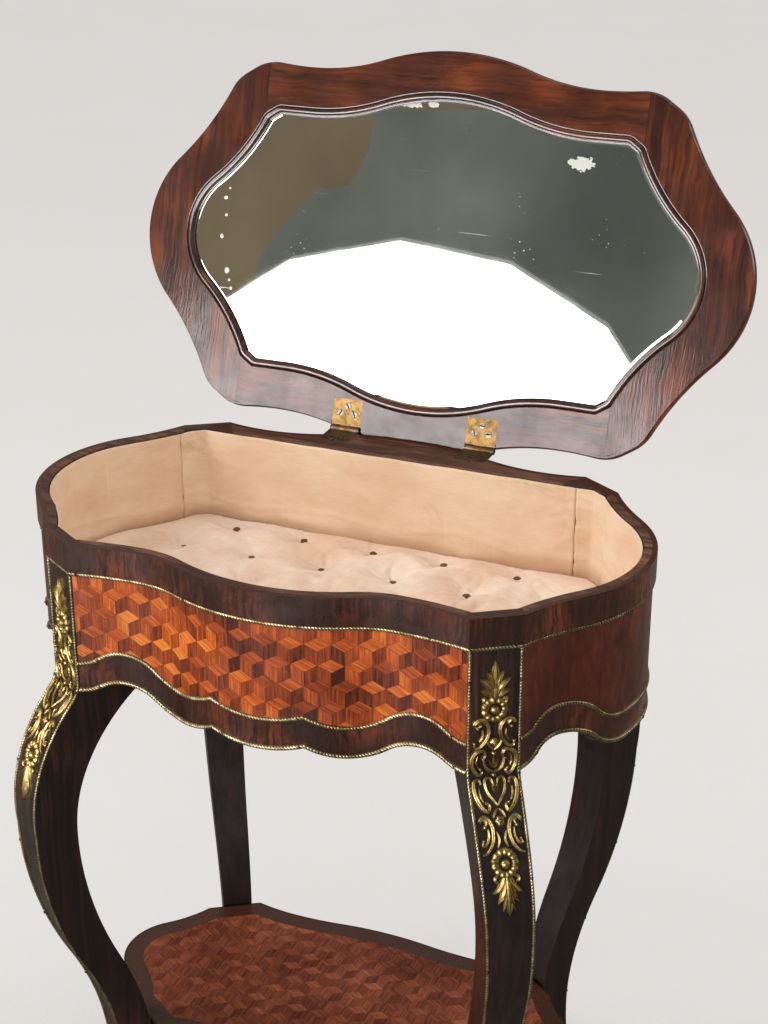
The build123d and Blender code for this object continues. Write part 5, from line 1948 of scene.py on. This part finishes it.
@dataclass
class HingeScrews:
    """Slotted countersunk screws of the hinges, three to a leaf, nearly flush so that the leaves close."""

    finish: Material
    radius: float = 3.8
    rise: float = 0.15
    slot: float = 1.0
    slot_depth: float = 0.8
    hinge_at: float = 74.0
    spread: float = 7.5
    lid_face: float = 0.4                  # depth of the lid's leaf above the rim
    case_rows: Point = (30.0, 23.5)        # distances from the pin of the middle screw and of the outer two
    lid_rows: Point = (24.0, 16.3)

    def head(self, form: Form, centre: Array, back: Array, up: Array, turn: float) -> None:
        """One head: a low dome whose rows run along the slot and drop where it lies.

        Args:
            form: Form that takes the surface.
            centre: Middle of the head, on the leaf.
            back: Unit vector in the leaf, square to the hinge's axis.
            up: Unit vector out of the leaf.
            turn: Angle of the slot.
        """
        half, radius = self.slot / 2, self.radius
        side = np.array([half, half, 0.35 * radius, 0.6 * radius, 0.85 * radius, radius])
        row = np.concatenate([-side[::-1], side])
        low = np.abs(row) <= half
        low[[len(side) - 2, len(side) + 1]] = False
        share = np.array([-1.0, -1.0, -0.8, -0.4, 0.0, 0.4, 0.8, 1.0, 1.0])
        along = share * np.sqrt(np.maximum(radius**2 - row[:, None] ** 2, 0))
        dome_height = self.rise * np.sqrt(np.clip(1.05 - (row[:, None] ** 2 + along**2) / radius**2, 0, 1))
        height = np.where(low[:, None], -self.slot_depth, dome_height)
        height[:, [0, -1]] = -self.slot_depth - 0.2
        across = np.array([1.0, 0.0, 0.0])
        way = across * math.cos(turn) + back * math.sin(turn)
        square = back * math.cos(turn) - across * math.sin(turn)
        grid = centre + row[:, None, None] * way + along[..., None] * square + height[..., None] * up
        form.grid(grid, wrap_columns=True, pattern=np.stack(np.broadcast_arrays(row[:, None], along), -1))

    def build(self) -> None:
        """Makes the screws of the case and of the lid."""
        turns = np.random.default_rng(4).uniform(0, math.pi, 12)
        for name, rows, body, own in (
            ("case", self.case_rows, Body.TABLE, turns[:6]),
            ("lid", self.lid_rows, Body.LID, turns[6:]),
        ):
            form = Form()
            spots = [
                (side * self.hinge_at + over, off)
                for side in (-1, 1)
                for over, off in ((0.0, rows[0]), (-self.spread, rows[1]), (self.spread, rows[1]))
            ]
            for (x, off), turn in zip(spots, own):
                if body is Body.TABLE:
                    centre = np.array([x, CASE_Y + HINGE_Y - off, RIM])
                    self.head(form, centre, np.array([0.0, 1.0, 0.0]), np.array([0.0, 0.0, 1.0]), turn)
                else:
                    centre = in_lid(np.array([x, HINGE_Y - LID_SHIFT - off]), self.lid_face)
                    self.head(form, centre, LID_BACK, -LID_UP, turn)
            piece = form.build(f"{name}_slotted_screws", body, self.finish, "screw_steel", sharp=30)
            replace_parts(piece, f"hinge_{name}_screws")


def dress_fittings(palette: Palette) -> None:
    """Finishes of the hinges and shelf."""
    for side in ("left", "right"):
        dress(palette.hinge, f"hinge_lid_leaf_{side}")
        dress(palette.patina, f"hinge_case_leaf_{side}", f"hinge_pin_{side}")
    dress(palette.carcass, "shelf_board", "shelf_dowels")
    dress(palette.shelf_cubes, "shelf_marquetry")
    dress(palette.rosewood, "shelf_banding")
    dress(palette.edge_brass, "shelf_edge_bead")


# ---------------------------------------------------------------- room
@dataclass
class Studio:
    """Plain pale floor, soft light and the camera."""

    camera_at: tuple[float, float, float] = (672.9, -1564.6, 1444.8)
    right: tuple[float, float, float] = (0.92372, 0.38305, -0.00204)
    up: tuple[float, float, float] = (-0.15417, 0.37665, 0.91344)
    ahead: tuple[float, float, float] = (-0.35067, 0.84345, -0.40697)
    lens: float = 67.14
    reach: float = 20000.0                 # half the width of the floor

    def build(self) -> None:
        """Makes the stage."""
        self.floor()
        self.screen()
        self.lights()
        self.camera()

    @staticmethod
    def card(name: str, points: Sequence[tuple[float, float, float]], material: Material) -> Piece:
        """Flat polygon of the stage."""
        mesh = bpy.data.meshes.new(name)
        mesh.from_pydata([tuple(v * MM for v in p) for p in points], [], [tuple(range(len(points)))])
        mesh.materials.append(material)
        made = bpy.data.objects.new(name, mesh)
        bpy.context.scene.collection.objects.link(made)
        return made

    def floor(self) -> None:
        """Large pale floor with a faint plaster texture."""
        material, tree, shader = fresh("studio_floor")
        place = coordinates(tree, Place.OBJECT)
        cloud = noise(tree, place, 2.2, 8.0, 0.7)
        weave = noise(tree, place, 160.0, 2.0)
        colour = mixed(tree, cloud, "#e6e3e1", "#f2f0ef")
        glossy = add(tree, "LightPath").outputs["Is Glossy Ray"]
        colour = mixed(tree, glossy, colour, "#6d6760")
        bump = add(tree, "Bump", {"Strength": 0.3, "Distance": 0.002, "Height": weave})
        wire(tree, shader, {"Base Color": colour, "Normal": bump})
        wire(tree, shader, {"Roughness": 0.9, "Specular IOR Level": 0.0})
        seen = maths(tree, "MULTIPLY", add(tree, "LightPath").outputs["Is Camera Ray"], 0.6)
        even = add(tree, "Emission", {"Color": "#dedbd8", "Strength": 1.0})
        both = add(tree, "MixShader", {"Fac": seen, 1: shader, 2: even})
        wire(tree, tree.nodes["Material Output"], {"Surface": both})
        corners = ((-1, -1), (1, -1), (1, 1), (-1, 1))
        self.card("floor", [(x * self.reach, y * self.reach, 0) for x, y in corners], material)

    @staticmethod
    def glow(name: str, first: str, second: str, scale: float, strength: float = 1.0) -> Material:
        """Finish of a card that only shows in reflections."""
        material, tree = blank(name)
        place = coordinates(tree, Place.OBJECT)
        cloud = noise(tree, place, scale, 2.0)
        share = eased(tree, cloud, 0.35, 0.65)
        colour = mixed(tree, share, first, second)
        light = add(tree, "Emission", {"Color": colour, "Strength": strength})
        add(tree, "OutputMaterial", {"Surface": light})
        return material

    def screen(self) -> None:
        """The far side of the room as gloss sees it: a dim wall, a brown door and a white reflector."""
        dim = self.glow("dim_room", "#565a55", "#868a84", 0.9)
        brown = self.glow("brown_door", "#766650", "#8a795f", 0.7)
        grey = self.glow("reflector_hem", "#a5a5a5", "#b5b5b5", 1.0)
        white = self.glow("white_reflector", "#ffffff", "#ffffff", 1.0, 8.0)
        tall = [
            (-3400, 1200), (-2400, 1330), (-1845, 1728), (-1669, 1874), (-1342, 1970), (-999, 1936),
            (-683, 1788), (-430, 1500), (600, 1200),
        ]
        door = [
            (-4000, 900), (-1913, 900), (-1913, 1967), (-1866, 2081), (-1778, 2210), (-1675, 2231),
            (-1637, 2353), (-1647, 2489), (-1300, 2517), (-900, 2500), (-900, 4000), (-4000, 4000),
        ]
        hem = [(x, z + 16) for x, z in tall]
        flats = [
            ("dim_wall", dim, -3400, [(-4200, 900), (3600, 900), (3600, 4200), (-4200, 4200)]),
            ("door", brown, -3300, door),
            ("hem", grey, -3010, [*hem[::-1], (-3400, 0), (600, 0)]),
            ("reflector", white, -3000, [*tall[::-1], (-3400, 0), (600, 0)]),
        ]
        for name, material, depth, outline in flats:
            made = self.card(name, [(x, depth, z) for x, z in outline], material)
            for ray in ("camera", "diffuse", "shadow", "transmission"):
                setattr(made, f"visible_{ray}", False)

    @staticmethod
    def lights() -> None:
        """Soft boxes, a window behind and an even sky."""
        for name, place, aim, size, power in (
            ("key", (-2.7, -1.7, 2.5), (0, 0, 0.6), 1.5, 56.0),
            ("fill", (2.4, -1.2, 2.2), (0, 0, 0.6), 1.6, 3.0),
            ("top", (0.4, 0.6, 3.2), (0, 0, 0.5), 1.6, 9.0),
            ("rear_window", (2.6, 1.6, 1.7), (0, 0, 0.7), 1.4, 20.0),
        ):
            lamp = bpy.data.lights.new(name, "AREA")
            lamp.size, lamp.energy = size, power
            made = bpy.data.objects.new(name, lamp)
            way = np.array(aim) - np.array(place)
            made.location = place
            made.rotation_euler = (math.acos(-way[2] / np.linalg.norm(way)), 0, math.atan2(-way[0], way[1]))
            bpy.context.scene.collection.objects.link(made)
        world = bpy.data.worlds.new("studio")
        bpy.context.scene.world = world
        world.use_nodes = True
        tree = world.node_tree
        tree.nodes.clear()
        sky = add(tree, "Background", {"Color": "#f4f2f0", "Strength": 0.82})
        seen = add(tree, "Background", {"Color": "#d6d3d1", "Strength": 1.0})
        dim = add(tree, "Background", {"Color": "#a7a39e", "Strength": 0.5})
        path = add(tree, "LightPath")
        room = add(tree, "MixShader", {"Fac": path.outputs["Is Glossy Ray"], 1: sky, 2: dim})
        both = add(tree, "MixShader", {"Fac": path.outputs["Is Camera Ray"], 1: room, 2: seen})
        add(tree, "OutputWorld", {"Surface": both})

    def camera(self) -> None:
        """Camera at the place and angle of view that the whole table is judged from."""
        data = bpy.data.cameras.new("camera")
        data.lens, data.sensor_width = self.lens, 36.0
        made = bpy.data.objects.new("camera", data)
        turned = np.eye(4)
        turned[:3, :3] = np.array([self.right, self.up, [-v for v in self.ahead]]).T
        turned[:3, 3] = np.array(self.camera_at) * MM
        made.matrix_world = Matrix(turned.tolist())
        bpy.context.scene.collection.objects.link(made)
        bpy.context.scene.camera = made


def main() -> None:
    """Builds every part in order."""
    logging.basicConfig(level=logging.INFO, format="%(name)s %(message)s")
    palette = Palette()
    builders: list[Callable[[], None]] = [
        Case(palette).build,
        BrassBeads(palette.bead).build,
        Legs(palette.bead).build,
        CornerMounts(palette.gilt).build,
        Linings(palette).build,
        Cushion(palette).build,
        Lid(palette).build,
        HingeScrews(palette.steel).build,
        lambda: dress_fittings(palette),
        Studio().build,
    ]
    for build in builders:
        build()
    bpy.context.scene.view_settings.view_transform = "Standard"


if __name__ == "__main__":
    main()
